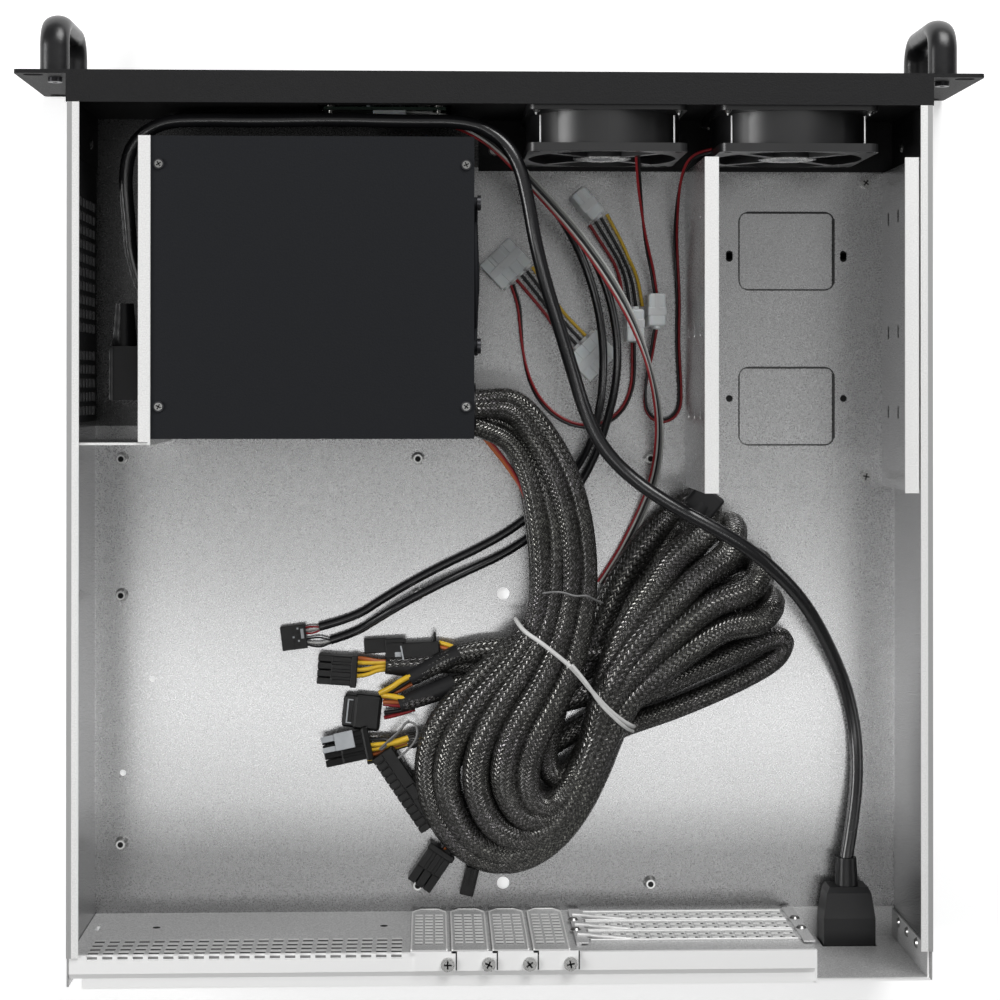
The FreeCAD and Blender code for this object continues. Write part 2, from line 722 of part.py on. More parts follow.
# fan at the other end, with a bowed wire guard outside
psu_frame = frame_shape.copy()
psu_frame.rotate(Vector(0, 0, 0), Vector(0, 0, 1), -90)
psu_rotor = rotor_shape.copy()
psu_rotor.rotate(Vector(0, 0, 0), Vector(0, 0, 1), -90)
psu_fan_place = Vector(psu_x0 + psu_sheet, psu_fan_y, psu_fan_z)
nodes["psu_fan_frame"] = psu_frame.translated(psu_fan_place)
nodes["psu_fan_rotor"] = psu_rotor.translated(psu_fan_place)
for y, z in psu_fan_screw_points:
    psu_screws.append(screw((psu_x0 - 1.6, y, z), (1, 0, 0), fan_screw, fan_screw_length, 3.8, 1.8))
guard_wire = 0.8
guard_rings = 5
guard_eye = 8.0
guard_pitch = (fan_bore - guard_eye) / (guard_rings - 1)
guard_tab = 2.9
strut_inner = guard_eye * math.sqrt(0.5)
strut_outer = fan_hole_pitch / 2 - 1.65
guard = []
for ring in range(guard_rings):
    ring_radius = fan_bore - ring * guard_pitch
    rise = guard_wire + ring * guard_pitch * 0.06
    ring_center = Vector(psu_x0 - rise, psu_fan_y, psu_fan_z)
    guard.append(Part.makeTorus(ring_radius, guard_wire, ring_center, Vector(1, 0, 0)))
for side in (-1, 1):
    for up in (-1, 1):
        inner = Vector(psu_x0 - 3 * guard_wire, psu_fan_y + side * strut_inner, psu_fan_z + up * strut_inner)
        outer = Vector(psu_x0 - guard_wire, psu_fan_y + side * strut_outer, psu_fan_z + up * strut_outer)
        corner = Vector(psu_x0 - 2 * guard_wire, psu_fan_y + side * fan_hole_pitch / 2,
                        psu_fan_z + up * fan_hole_pitch / 2)
        guard.append(Part.makeCylinder(guard_wire, (outer - inner).Length, inner, outer - inner))
        guard.append(Part.makeCylinder(guard_tab, 2 * guard_wire, corner, Vector(1, 0, 0)))
guard = fuse(guard)
guard_holes = [rod(fan_hole, (psu_x0 - 4 * guard_wire, y, z), (1, 0, 0), 6 * guard_wire)
               for y, z in psu_fan_screw_points]
nodes["psu_fan_guard"] = cut(guard, guard_holes)
nodes["psu_screws"] = Part.makeCompound(psu_screws)

# inlet socket: flange outside, body inside, a recess with three pins
recess_wide = 24.4
recess_tall = 17.0
inlet_flange = 1.6
inlet_body = 16.0
socket_front = psu_x1 + inlet_flange
inlet = fuse([
    box(psu_x1, socket_front, plug_y - 15.5, plug_y + 15.5, psu_plug_z - 12, psu_plug_z + 12),
    box(psu_x1 - inlet_body, psu_x1, plug_y - inlet_wide / 2 + hole_gap, plug_y + inlet_wide / 2 - hole_gap,
        psu_plug_z - inlet_tall / 2 + hole_gap, psu_plug_z + inlet_tall / 2 - hole_gap),
])
inlet_floor = psu_x1 - inlet_body + 2
inlet = inlet.cut(box(inlet_floor, socket_front + 1, plug_y - recess_wide / 2, plug_y + recess_wide / 2,
                      psu_plug_z - recess_tall / 2, psu_plug_z + recess_tall / 2))
pin_places = ((-7.0, -2.0), (0.0, 2.0), (7.0, -2.0))
pins = []
plug_bores = []
for dy, dz in pin_places:
    pins.append(box(inlet_floor - 1, inlet_floor + 12, plug_y + dy - 1, plug_y + dy + 1,
                    psu_plug_z + dz - 2, psu_plug_z + dz + 2))
    plug_bores.append(box(inlet_floor - 1, inlet_floor + 12 + hole_gap, plug_y + dy - 1 - hole_gap,
                          plug_y + dy + 1 + hole_gap, psu_plug_z + dz - 2 - hole_gap,
                          psu_plug_z + dz + 2 + hole_gap))
nodes["psu_inlet"] = fuse([inlet] + pins)

# rocker switch: bezel with a pocket, rocker on a cross pin of its own
bezel = fuse([
    box(psu_x1, psu_x1 + 1.2, rocker_y - switch_wide / 2 - 1.5, rocker_y + switch_wide / 2 + 1.5,
        psu_plug_z - switch_tall / 2 - 1.5, psu_plug_z + switch_tall / 2 + 1.5),
    box(psu_x1 - 12, psu_x1, rocker_y - switch_wide / 2 + hole_gap, rocker_y + switch_wide / 2 - hole_gap,
        psu_plug_z - switch_tall / 2 + hole_gap, psu_plug_z + switch_tall / 2 - hole_gap),
])
pocket_wide = 11.0
pocket_tall = 17.0
rocker_axis_x = psu_x1 - 3.5
rocker_pin = 1.2
bezel = bezel.cut(box(psu_x1 - 10, psu_x1 + 2, rocker_y - pocket_wide / 2, rocker_y + pocket_wide / 2,
                      psu_plug_z - pocket_tall / 2, psu_plug_z + pocket_tall / 2))
bezel = bezel.cut(rod(rocker_pin + screw_fit, (rocker_axis_x, rocker_y - pocket_wide / 2 - 1.2, psu_plug_z),
                      (0, 1, 0), pocket_wide + 2.4))
nodes["psu_switch"] = bezel
rocker_tilt = 8.0
rocker_half = pocket_tall / 2 - 1.0
rocker_profile = Part.makePolygon([
    Vector(rocker_axis_x - 3.0, 0, psu_plug_z - 3.0),
    Vector(rocker_axis_x + 1.5, 0, psu_plug_z - rocker_half),
    Vector(rocker_axis_x + 4.6, 0, psu_plug_z - rocker_half), Vector(rocker_axis_x + 3.4, 0, psu_plug_z),
    Vector(rocker_axis_x + 4.6, 0, psu_plug_z + rocker_half),
    Vector(rocker_axis_x + 1.5, 0, psu_plug_z + rocker_half),
    Vector(rocker_axis_x - 3.0, 0, psu_plug_z + 3.0),
    Vector(rocker_axis_x - 3.0, 0, psu_plug_z - 3.0)])
rocker_span = pocket_wide - 2 * hole_gap
rocker = Part.Face(rocker_profile).extrude(Vector(0, rocker_span, 0))
rocker.translate(Vector(0, rocker_y - rocker_span / 2, 0))
rocker = fuse([rocker, rod(rocker_pin, (rocker_axis_x, rocker_y - pocket_wide / 2 - 1.0, psu_plug_z),
                           (0, 1, 0), pocket_wide + 2.0)])
rocker.rotate(Vector(rocker_axis_x, rocker_y, psu_plug_z), Vector(0, 1, 0), -rocker_tilt)
nodes["psu_rocker"] = rocker

# inside: circuit board on four posts with its tall parts
pcb_lift = 7.0
pcb_inset = 8.0
pcb_foot = 2.5
pcb_gap = 3.0
sink_inset = 18.0
sink_start = 10.0
sink_length = 74.0
sink_thick = 3.0
sink_tall = 56.0
core_wide = 32.0
core_tall = 36.0
tank_radius = 14.0
tank_tall = 40.0
pcb_z = psu_z0 + psu_sheet + pcb_lift
pcb_x0 = psu_x0 + psu_sheet + fan_thick + pcb_gap
pcb_x1 = psu_x1 - inlet_body - pcb_gap
pcb_y0 = psu_y0 + pcb_inset
pcb_y1 = psu_y1 - pcb_inset
inside = [box(pcb_x0, pcb_x1, pcb_y0, pcb_y1, pcb_z, pcb_z + io_board_thick)]
for x in (pcb_x0 + 2 * pcb_foot, pcb_x1 - 2 * pcb_foot):
    for y in (pcb_y0 + 2 * pcb_foot, pcb_y1 - 2 * pcb_foot):
        inside.append(rod(pcb_foot, (x, y, psu_z0 + psu_sheet), (0, 0, 1), pcb_lift))
for y in (pcb_y0 + sink_inset, pcb_y1 - 2 * sink_inset):
    inside.append(box(pcb_x0 + sink_start, pcb_x0 + sink_start + sink_length, y, y + sink_thick,
                      pcb_z, pcb_z + sink_tall))
core_x = pcb_x0 + sink_start + sink_length - core_wide
core_y = (pcb_y0 + pcb_y1) / 2
core_half = core_wide / 2
inside.append(box(core_x - core_half, core_x + core_half, core_y - core_half, core_y + core_half,
                  pcb_z, pcb_z + core_tall))
tank_x = pcb_x1 - tank_radius
for side in (-1, 1):
    tank_y = core_y + side * (tank_radius + 1.0)
    inside.append(rod(tank_radius, (tank_x, tank_y, pcb_z), (0, 0, 1), tank_tall))
nodes["psu_board"] = fuse(inside)

nodes["psu_base"] = cut(base, base_cuts)
nodes["psu_cover"] = cut(cover, cover_cuts)

# grommet round the wires
grommet = fuse([
    rod(exit_radius - screw_fit, (psu_x0 - 1.5, exit_y, exit_z), (1, 0, 0), 3.8),
    rod(exit_radius + 1.8, (psu_x0 - 1.5, exit_y, exit_z), (1, 0, 0), 1.5),
])
nodes["psu_grommet"] = grommet.cut(rod(exit_radius - 1.5, (psu_x0 - 3, exit_y, exit_z), (1, 0, 0), 8))

# ---------------------------------------------------------------------------
# Drive cage
# ---------------------------------------------------------------------------
cage_x0 = -inner_x + cage_side_gap
cage_x1 = cage_x0 + cage_width
cage_y0 = bulkhead_wing + cage_front_gap
cage_y1 = cage_y0 + cage_depth
cage_z1 = sheet + cage_height
cage = fuse([
    box(cage_x0, cage_x1, cage_y0, cage_y1, sheet, sheet + cage_sheet),
    box(cage_x0, cage_x0 + cage_sheet, cage_y0, cage_y1, sheet, cage_z1),
    box(cage_x1 - cage_sheet, cage_x1, cage_y0, cage_y1, sheet, cage_z1),
    box(cage_x0, cage_x0 + cage_flange, cage_y0, cage_y1, cage_z1 - cage_sheet, cage_z1),
    box(cage_x1 - cage_flange, cage_x1, cage_y0, cage_y1, cage_z1 - cage_sheet, cage_z1),
])
cage_mid = (cage_x0 + cage_x1) / 2 - 1.0
cage_cuts = []
opening_x = 52.2
opening_y = 42.6
opening_first = cage_y0 + 20.5
opening_pitch = 83.4
for index in range(2):
    y = opening_first + index * opening_pitch
    cage_cuts.append(round_box(cage_mid - opening_x / 2, cage_mid + opening_x / 2, y, y + opening_y,
                               sheet - 1, sheet + cage_sheet + 1, (0, 0, 1), 6.0))
bay_y = cage_y0 + 44.5
bay_hole = 1.9
for side in (-1, 1):
    x = cage_mid + side * bay_hole_pitch_x / 2
    cage_cuts.append(slot_cutter((x, bay_y, sheet + cage_sheet / 2), (0, 1, 0), (0, 0, 3 * cage_sheet),
                                 2 * bay_hole, 6.4))
    cage_cuts.append(rod(bay_hole, (x, bay_y + bay_hole_pitch_y, sheet - 1), (0, 0, 1), cage_sheet + 2))
cage_slot = 3.4
for y in (cage_y0 + 26.0, cage_y0 + 86.0, cage_y0 + 128.0):
    for z in (sheet + 18.0, sheet + 42.0, sheet + 66.0):
        for x in (cage_x0 + cage_sheet / 2, cage_x1 - cage_sheet / 2):
            cage_cuts.append(slot_cutter((x, y, z), (0, 1, 0), (3 * cage_sheet, 0, 0), cage_slot, 7.0))
cage_screw = 1.5
cage_screws = []
for x in (cage_x0 + 10.0, cage_x1 - 11.0):
    for y in (cage_y0 + 5.0, cage_y1 - 5.0):
        hole = rod(cage_screw + screw_fit, (x, y, -1), (0, 0, 1), cage_sheet + sheet + 3)
        cage_cuts.append(hole)
        tray_cuts.append(hole)
        cage_screws.append(screw((x, y, sheet + cage_sheet), (0, 0, -1), cage_screw,
                                 cage_sheet + sheet, 3.0, 1.8))
nodes["drive_cage"] = cut(cage, cage_cuts + seat_room)
nodes["cage_screws"] = Part.makeCompound(cage_screws)

# ---------------------------------------------------------------------------
# Main board seats: threaded cones pressed into the floor
# ---------------------------------------------------------------------------
standoffs = []
for x, y in seats:
    body = cone(seat_radius, seat_rim, (x, y, sheet), (0, 0, 1), seat_height)
    stud = rod(seat_stud - screw_fit, (x, y, 0), (0, 0, 1), sheet + 1)
    standoffs.append(fuse([body, stud]).cut(rod(seat_bore, (x, y, 0.5), (0, 0, 1), seat_height + 2)))
nodes["standoffs"] = Part.makeCompound(standoffs)

# ---------------------------------------------------------------------------
# Rear panel: recessed wall, ledge, joggled lip and the block for the inlet
# ---------------------------------------------------------------------------
ledge_z = case_height - sheet
lip_top = ledge_z - joggle
ledge_end = recess_y + ledge_depth
side_reach = inner_x - hole_gap
joggle_end = ledge_end + joggle_run
joggle_face = Part.Face(Part.makePolygon([
    Vector(block_x, ledge_end - 0.4, ledge_z), Vector(block_x, joggle_end, lip_top),
    Vector(block_x, joggle_end, lip_top - sheet), Vector(block_x, ledge_end - 0.4, ledge_z - sheet),
    Vector(block_x, ledge_end - 0.4, ledge_z)]))
rear = [
    box(block_x, side_reach, recess_y, recess_back, sheet, ledge_z),
    box(block_x, side_reach, recess_y, ledge_end, ledge_z - sheet, ledge_z),
    joggle_face.extrude(Vector(side_reach - block_x, 0, 0)),
    box(block_x, side_reach - 6, joggle_end - 0.2, rear_y, lip_top - sheet, lip_top),
    box(block_x, side_reach - 6, rear_y - sheet, rear_y, lip_top - lip_drop, lip_top),
    box(block_x, block_x + sheet, recess_y, block_y + sheet, sheet, ledge_z),
    box(-side_reach, block_x + sheet, block_y, block_y + sheet, sheet, ledge_z),
    box(-side_reach, block_x + sheet, recess_y - 1, block_y, sheet, 2 * sheet),
    box(-side_reach, -side_reach + sheet, recess_y, block_y, sheet, ledge_z - 2),
    box(side_reach - sheet, side_reach, recess_y, recess_y + 12, sheet, ledge_z - 2),
]
rear = fuse(rear)
rear_cuts = []
slot_x = seat_x - slot_from_seats
slot_low = sheet + 6.0
slot_high = ledge_z - 9.0
slot_open = 12.1
cover_tab = 4.6
tab_depth = 10.2
tab_screw_y = ledge_end - 3.6
slot_screw = 1.6
cover_screws = []
slot_covers = []
for index in range(4):
    edge = slot_x - index * slot_pitch
    center = edge + cover_width / 2
    rear_cuts.append(box(center - slot_open / 2, center + slot_open / 2, recess_y - 1, recess_back + 1,
                         slot_low, slot_high))
    tab = box(edge - cover_tab, edge + cover_width - 2.6, recess_y - cover_sheet, recess_y + tab_depth - 1.6,
              ledge_z, ledge_z + cover_sheet)
    plate = box(edge, edge + cover_width, recess_y - cover_sheet, recess_y,
                sheet + 1.5, ledge_z + cover_sheet)
    chamfer = []
    for corner_x, way in ((edge, 1), (edge + cover_width, -1)):
        chamfer.append(Part.Face(Part.makePolygon([
            Vector(corner_x - way, recess_y - 2, sheet), Vector(corner_x + way * 4.2, recess_y - 2, sheet),
            Vector(corner_x - way, recess_y - 2, sheet + 6.7),
            Vector(corner_x - way, recess_y - 2, sheet)])).extrude(Vector(0, 4, 0)))
    slits = []
    for column in range(3):
        for row in range(10):
            x = edge + 4.0 + column * 5.2
            z = sheet + 16 + row * 6.2
            slits.append(box(x - 1.9, x + 1.9, recess_y - 2, recess_y + 1, z - 0.8, z + 0.8))
    hole = rod(slot_screw + screw_fit, (edge, tab_screw_y, ledge_z - 3), (0, 0, 1), 6)
    rear_cuts.append(hole)
    body = cut(fuse([tab, plate]), chamfer + slits + [hole])
    slot_covers.append(body)
    cover_screws.append(screw((edge, tab_screw_y, ledge_z + cover_sheet), (0, 0, -1), slot_screw,
                              4.5, 3.4, 1.9))

nodes["slot_covers"] = Part.makeCompound(slot_covers)

# three level covers for riser cards, held by hooks at one end and a strip at the other
riser_x1 = slot_x - 4 * slot_pitch + 13.0
riser_x0 = riser_x1 - riser_length
riser_tall = 18.0
riser_covers = []
for index in range(3):
    z = riser_first_z + index * slot_pitch
    rear_cuts.append(box(riser_x0 + 7, riser_x1 - 7, recess_y - 1, recess_back + 1, z - 6, z + 6))
    blank = fuse([
        box(riser_x0 + 5, riser_x1 - 4, recess_y - cover_sheet, recess_y,
            z - riser_tall / 2, z + riser_tall / 2),
        box(riser_x1 - 4, riser_x1, recess_y - cover_sheet, recess_y, z - 5, z + 5),
        box(riser_x0, riser_x0 + 5, recess_y - cover_sheet, recess_y, z - 7, z + 7),
    ])
    slits = []
    for row in range(2):
        for column in range(16):
            x = riser_x0 + 8.6 + column * 6.2
            slits.append(box(x - 2.2, x + 2.2, recess_y - 2, recess_y + 1,
                             z - 4.4 + row * 7.2, z - 2.6 + row * 7.2))
    riser_covers.append(cut(blank, slits))
nodes["riser_covers"] = Part.makeCompound(riser_covers)

hook_strip = box(riser_x1 - 2.6, riser_x1 + 3.4, recess_y - 2 * cover_sheet, recess_y - cover_sheet,
                 sheet + 5, ledge_z - 12)
hook_foot = box(riser_x1 + 1.0, riser_x1 + 3.4, recess_y - cover_sheet, recess_y, sheet + 5, ledge_z - 12)
hook_hole_z = (riser_first_z + slot_pitch / 2, riser_first_z + 1.5 * slot_pitch)
riser_hook = fuse([hook_strip, hook_foot])
hook_cuts = []
for z in hook_hole_z:
    hole = rivet((riser_x1 + 2.2, recess_y - 2 * cover_sheet, z), (0, 1, 0), 2 * cover_sheet + sheet)
    hook_cuts.append(hole)
    rear_cuts.append(hole)
nodes["riser_hook"] = cut(riser_hook, hook_cuts)

strip_x0 = riser_x0 - 2.0
strip_x1 = riser_x0 + 3.6
strip_x = (strip_x0 + strip_x1) / 2
strip_pad = 2.4
strip_parts = [box(strip_x0, strip_x1, recess_y - 2 * cover_sheet, recess_y - cover_sheet,
                   sheet + 5, ledge_z - 12)]
strip_cuts = []
for z in hook_hole_z:
    strip_parts.append(box(strip_x0, strip_x1, recess_y - cover_sheet, recess_y,
                           z - strip_pad, z + strip_pad))
    hole = rivet((strip_x, recess_y - 2 * cover_sheet, z), (0, 1, 0), 2 * cover_sheet + sheet)
    strip_cuts.append(hole)
    rear_cuts.append(hole)
nodes["riser_strip"] = cut(fuse(strip_parts), strip_cuts)
nodes["cover_screws"] = Part.makeCompound(cover_screws)

# vent grid beside the slots, with a last row notched into the fold, two plain holes, and the
# rivets at both ends
grid_columns = 21
grid_rows = 4
grid_pitch_x = 7.5
grid_pitch_z = 7.4
grid_first_x = slot_x + cover_width + 7.0
grid_top_z = ledge_z - 4.6
notch_deep = 2.4
for column in range(grid_columns):
    x = grid_first_x + column * grid_pitch_x
    rear_cuts.append(box(x - 2.6, x + 2.6, recess_y - 1, recess_y + notch_deep, ledge_z - 1.6, ledge_z + 1))
    for row in range(grid_rows):
        z = grid_top_z - row * grid_pitch_z
        rear_cuts.append(box(x - 2.6, x + 2.6, recess_y - 1, recess_back + 1, z - 1.9, z + 1.9))
for x in (grid_first_x + 7.3, grid_first_x + 125.1):
    rear_cuts.append(rod(2.0, (x, recess_y - 1, sheet + 31), (0, 1, 0), sheet + 2))
rear_cuts.append(box(grid_first_x + 154.5, grid_first_x + 156.5, recess_y - 1, recess_back + 1,
                     sheet + 24, sheet + 36))
for z in (sheet + 18.0, sheet + 38.0, sheet + 60.0):
    hole = rivet((-side_reach + sheet, recess_y + 3.5, z), (-1, 0, 0), 2 * sheet + hole_gap)
    rear_cuts.append(hole)
    tray_cuts.append(hole)
for z in (sheet + 20.0, sheet + 60.0):
    hole = rivet((side_reach - sheet, recess_y + 7.0, z), (1, 0, 0), 2 * sheet + hole_gap)
    rear_cuts.append(hole)
    tray_cuts.append(hole)

# cut-out for the moulded inlet on the mains cord
out_x = -half_width + 29.3
out_z = sheet + 13.0
out_wide = 29.0
out_tall = 20.4
rear_cuts.append(box(out_x - out_wide / 2, out_x + out_wide / 2, block_y - 1, block_y + sheet + 1,
                     out_z - out_tall / 2, out_z + out_tall / 2))
nodes["rear_panel"] = cut(rear, rear_cuts)
nodes["chassis_tray"] = cut(tray, tray_cuts)
nodes["rivets"] = Part.makeCompound(rivets)


# ---------------------------------------------------------------------------
# Cords: each is a tube of straight runs joined by tangent arcs
# ---------------------------------------------------------------------------
def cord_tube(name, points, diameter):
    spots = [Vector(*point) for point in points]
    edges = []
    radii = []
    length = 0.0
    last = spots[0]
    for index in range(1, len(spots) - 1):
        back = spots[index - 1] - spots[index]
        ahead = spots[index + 1] - spots[index]
        shorter = min(back.Length, ahead.Length)
        back.normalize()
        ahead.normalize()
        turn = math.pi - back.getAngle(ahead)
        trim = 0.45 * shorter
        radius = trim / math.tan(turn / 2)
        radii.append(radius)
        start = spots[index] + back * trim
        end = spots[index] + ahead * trim
        bisector = back + ahead
        bisector.normalize()
        center = spots[index] + bisector * math.sqrt(radius ** 2 + trim ** 2)
        middle = center - bisector * radius
        edges.append(Part.LineSegment(last, start).toShape())
        edges.append(Part.Arc(start, middle, end).toShape())
        length += (start - last).Length + radius * turn
        last = end
    edges.append(Part.LineSegment(last, spots[-1]).toShape())
    length += (spots[-1] - last).Length
    path = Part.Wire(edges)
    ring = Part.Wire([Part.Circle(spots[0], spots[1] - spots[0], diameter / 2).toShape()])
    tube = path.makePipeShell([ring], True, False)
    share = tube.Volume / (math.pi * diameter ** 2 / 4 * length)
    print("%-16s length %.0f  volume / section x length %.4f  radii %s"
          % (name, length, share, " ".join("%.0f" % radius for radius in radii)))
    return tube


# mains cord: from the angled plug, round the power supply, across to the rear inlet
boot_length = 22.0
plug_deep = 24.0
plug_half = 13.7
plug_x0 = socket_front
plug_x1 = plug_x0 + plug_deep
cord_x = plug_x0 + 17.0
boot_end = plug_y - plug_half - boot_length
nose_end = inlet_floor + 0.6
plug = fuse([
    round_box(plug_x0, plug_x1, plug_y - plug_half, plug_y + plug_half, psu_plug_z - 10, psu_plug_z + 10,
              (0, 1, 0), 3.0),
    box(nose_end, plug_x0, plug_y - recess_wide / 2 + hole_gap, plug_y + recess_wide / 2 - hole_gap,
        psu_plug_z - recess_tall / 2 + hole_gap, psu_plug_z + recess_tall / 2 - hole_gap),
    cone(6.5, 4.6, (cord_x, plug_y - plug_half, psu_plug_z), (0, -1, 0), boot_length),
])
nodes["psu_plug"] = cut(plug, plug_bores)

inlet_back = block_y + sheet
inlet_neck = block_y - 30.4
inlet_boot = 14.6
inlet_body_wide = 27.4
inlet_body_tall = 19.0
neck = Part.makeLoft([
    Part.makePolygon([Vector(out_x + a * inlet_body_wide / 2 * s, y, out_z + b * inlet_body_tall / 2 * s)
                      for a, b in ((-1, -1), (1, -1), (1, 1), (-1, 1), (-1, -1))])
    for y, s in ((inlet_neck, 0.74), (inlet_neck + 3, 0.86), (inlet_neck + 16, 1.0),
                 (block_y - 0.5, 1.0))], True, True)
rear_inlet = fuse([
    neck,
    box(out_x - inlet_body_wide / 2, out_x + inlet_body_wide / 2, block_y - 0.5, inlet_back,
        out_z - inlet_body_tall / 2, out_z + inlet_body_tall / 2),
    box(out_x - 16, out_x + 16, inlet_back, rear_y, out_z - 12, out_z + 12),
    cone(5.3, 6.2, (out_x, inlet_neck - inlet_boot, out_z), (0, 1, 0), inlet_boot),
])
rear_inlet = rear_inlet.cut(box(out_x - 12, out_x + 12, rear_y - 15, rear_y + 1, out_z - 8, out_z + 8))
rear_pins = [box(out_x + dx - 1, out_x + dx + 1, rear_y - 16, rear_y - 3, out_z + dz - 2, out_z + dz + 2)
             for dx, dz in pin_places]
nodes["rear_inlet"] = fuse([rear_inlet] + rear_pins)

mains_points = [
    (cord_x, boot_end, psu_plug_z), (194.5, -119, 47), (198, -140, 52), (200, -161, 57), (189.6, -179, 62),
    (171.5, -188.5, 66), (150, -189, 69), (122, -188.4, 71), (84, -189.3, 71), (50, -188.4, 71),
    (17, -188.5, 72), (1.8, -181.4, 73.5), (-8.5, -168, 75), (-13.2, -149, 75), (-16.8, -128, 73),
    (-22.5, -106.5, 69), (-30, -84, 64), (-37, -62, 59), (-43.5, -41, 56), (-52.5, -23, 56),
    (-67, -8, 56), (-86, 5, 59), (-107, 16, 61), (-127, 28, 58), (-143, 41, 50), (-157, 55, 39),
    (-168, 70, 27), (-178, 87, 15), (-187, 106, 7.5), (-192, 128, 5.6), (-192.8, 149, 7.6),
    (-190.6, 170, 11.5), (out_x, inlet_neck - inlet_boot, out_z),
]
nodes["mains_cord"] = cord_tube("mains_cord", mains_points, mains_diameter)

lead_exit_y = board_rear + 2.8
usb_a_points = [
    (34.5, lead_exit_y, 52), (25, -192.4, 52.4), (13.5, -189.5, 53.4), (2.5, -182, 54), (-7, -171, 53.5),
    (-17, -160, 50.5), (-27, -148.5, 44),
    (-37, -135, 37), (-45, -119, 32), (-51, -101, 30), (-54.5, -82, 29), (-55, -62, 28), (-53.5, -44, 25),
    (-49.5, -27, 18), (-42.5, -12, 10), (-32, 1.5, 5), (-18.5, 13.5, 3.6), (-4, 24, 3.5), (12, 32.5, 3.4),
    (30, 41, 3.5), (47, 50, 3.6), (62, 59, 3.5), (76.5, 68.5, 3.6), (90, 72.6, 4.2), (103, 75.4, 4.2),
]
nodes["usb_cable_a"] = cord_tube("usb_cable_a", usb_a_points, usb_diameter)
usb_b_points = [
    (34.5, lead_exit_y, 40), (25, -192.4, 40.3), (13.5, -188.5, 40.8), (2, -180.5, 40.5), (-8.5, -169, 39),
    (-19, -158, 36), (-31, -147, 32),
    (-43.5, -133, 28), (-53.5, -116, 25), (-60, -97, 24), (-63, -77, 23), (-62.5, -57, 20), (-58.5, -38, 15),
    (-53, -20, 8.5), (-45, -3.5, 4.4), (-33.5, 11.5, 3.5), (-19.5, 24.5, 3.4), (-3, 35, 3.8), (15, 43, 6.4),
    (33, 51, 11.2), (51, 60.5, 11.2), (65, 69.5, 6.4), (78, 76.5, 3.9), (90, 79.6, 4.2),
    (103, 81.2, 4.2),
]
nodes["usb_cable_b"] = cord_tube("usb_cable_b", usb_b_points, usb_diameter)
header = turned(box(101.6, 115.2, 72.1, 85.1, sheet, sheet + 6.6), (108.4, 78.6, 0), 7)
nodes["usb_header_plug"] = header

ribbon_points = [
    (48, lead_exit_y, 57), (36, -192, 59), (23, -189.5, 61.5), (9, -182.5, 63), (-3, -172.5, 62),
    (-15, -160, 57), (-27, -148, 50.5), (-39, -135, 45.5), (-50, -121, 43), (-60, -106, 42), (-69, -90, 40),
    (-76, -73, 37), (-81.5, -55, 32), (-85, -37, 24), (-85.5, -19, 14.5), (-83, -2, 7), (-77, 13.5, 4),
    (-70.5, 27, 3.4), (-65, 38.5, 3.4),
]
nodes["panel_ribbon"] = cord_tube("panel_ribbon", ribbon_points, ribbon_diameter)

# plugs on the front board that the cables leave from
io_plug_rear = board_rear + 5.6
nodes["io_plugs"] = Part.makeCompound([
    round_box(34.5, 45, board_rear, io_plug_rear, 47.5, 56.5, (0, 1, 0), 0.8),
    round_box(34.5, 45, board_rear, io_plug_rear, 35.5, 44.5, (0, 1, 0), 0.8),
    round_box(48, 65, board_rear, io_plug_rear, 54.0, 60.0, (0, 1, 0), 0.8),
])

lead_start_y = bulkhead_rear + fan_thick
lead_left_points = [
    (-70, lead_start_y, 58), (-71.5, -161.5, 48), (-74, -149, 37), (-76.5, -136.5, 27), (-79.5, -125, 19.5),
    (-82.5, -114.5, 14.8), (-84, -104.6, 13),
]
nodes["fan_lead_left"] = cord_tube("fan_lead_left", lead_left_points, lead_diameter)
lead_right_points = [
    (-109, -176.5, 52), (-102, -176, 46), (-96.8, -170.5, 38.5), (-95, -161, 28.5), (-94.8, -149, 17.5),
    (-95, -134, 8.6),
    (-96.5, -116, 4), (-97.4, -99, 2.8), (-96.8, -81, 2.6), (-97.5, -66, 2.8), (-98.3, -53.5, 3.0),
    (-98, -42.5, 3.2), (-92.4, -36.7, 3.5), (-84.7, -36.5, 3.9), (-79.2, -42.2, 4.4), (-79.0, -53, 5.6),
    (-80.6, -64, 7.4), (-82.6, -75, 9.6), (-84, -85.4, 12),
]
nodes["fan_lead_right"] = cord_tube("fan_lead_right", lead_right_points, lead_diameter)
adapter_points = [
    (-7.9, -109.4, 5.5), (-11.7, -100, 3.4), (-12.4, -88, 2.6), (-13.6, -74.5, 2.5), (-16.2, -61, 2.5),
    (-21.8, -48.5, 2.5), (-31.5, -38.5, 2.6), (-44, -33.2, 2.6), (-57, -34.2, 2.5), (-67.4, -41.8, 2.5),
    (-72.4, -53.5, 3.0), (-73.2, -66, 4.8), (-72.5, -78.4, 7.6),
]
nodes["adapter_lead"] = cord_tube("adapter_lead", adapter_points, lead_diameter)
jumper_a_points = [(-14.4, -115.6, 5.5), (-22.2, -106, 4.6), (-30.0, -95, 4.0),
                   (-36.4, -86.2, 4.6), (-43.5, -78.7, 5.5)]
nodes["jumper_a"] = cord_tube("jumper_a", jumper_a_points, jumper_diameter)
jumper_b_points = [(-53.8, -144.3, 7), (-60.5, -133.5, 5.4), (-67.0, -122.0, 4.4), (-71.4, -110.0, 5.2),
                   (-72.5, -97.4, 6.5)]
nodes["jumper_b"] = cord_tube("jumper_b", jumper_b_points, jumper_diameter)

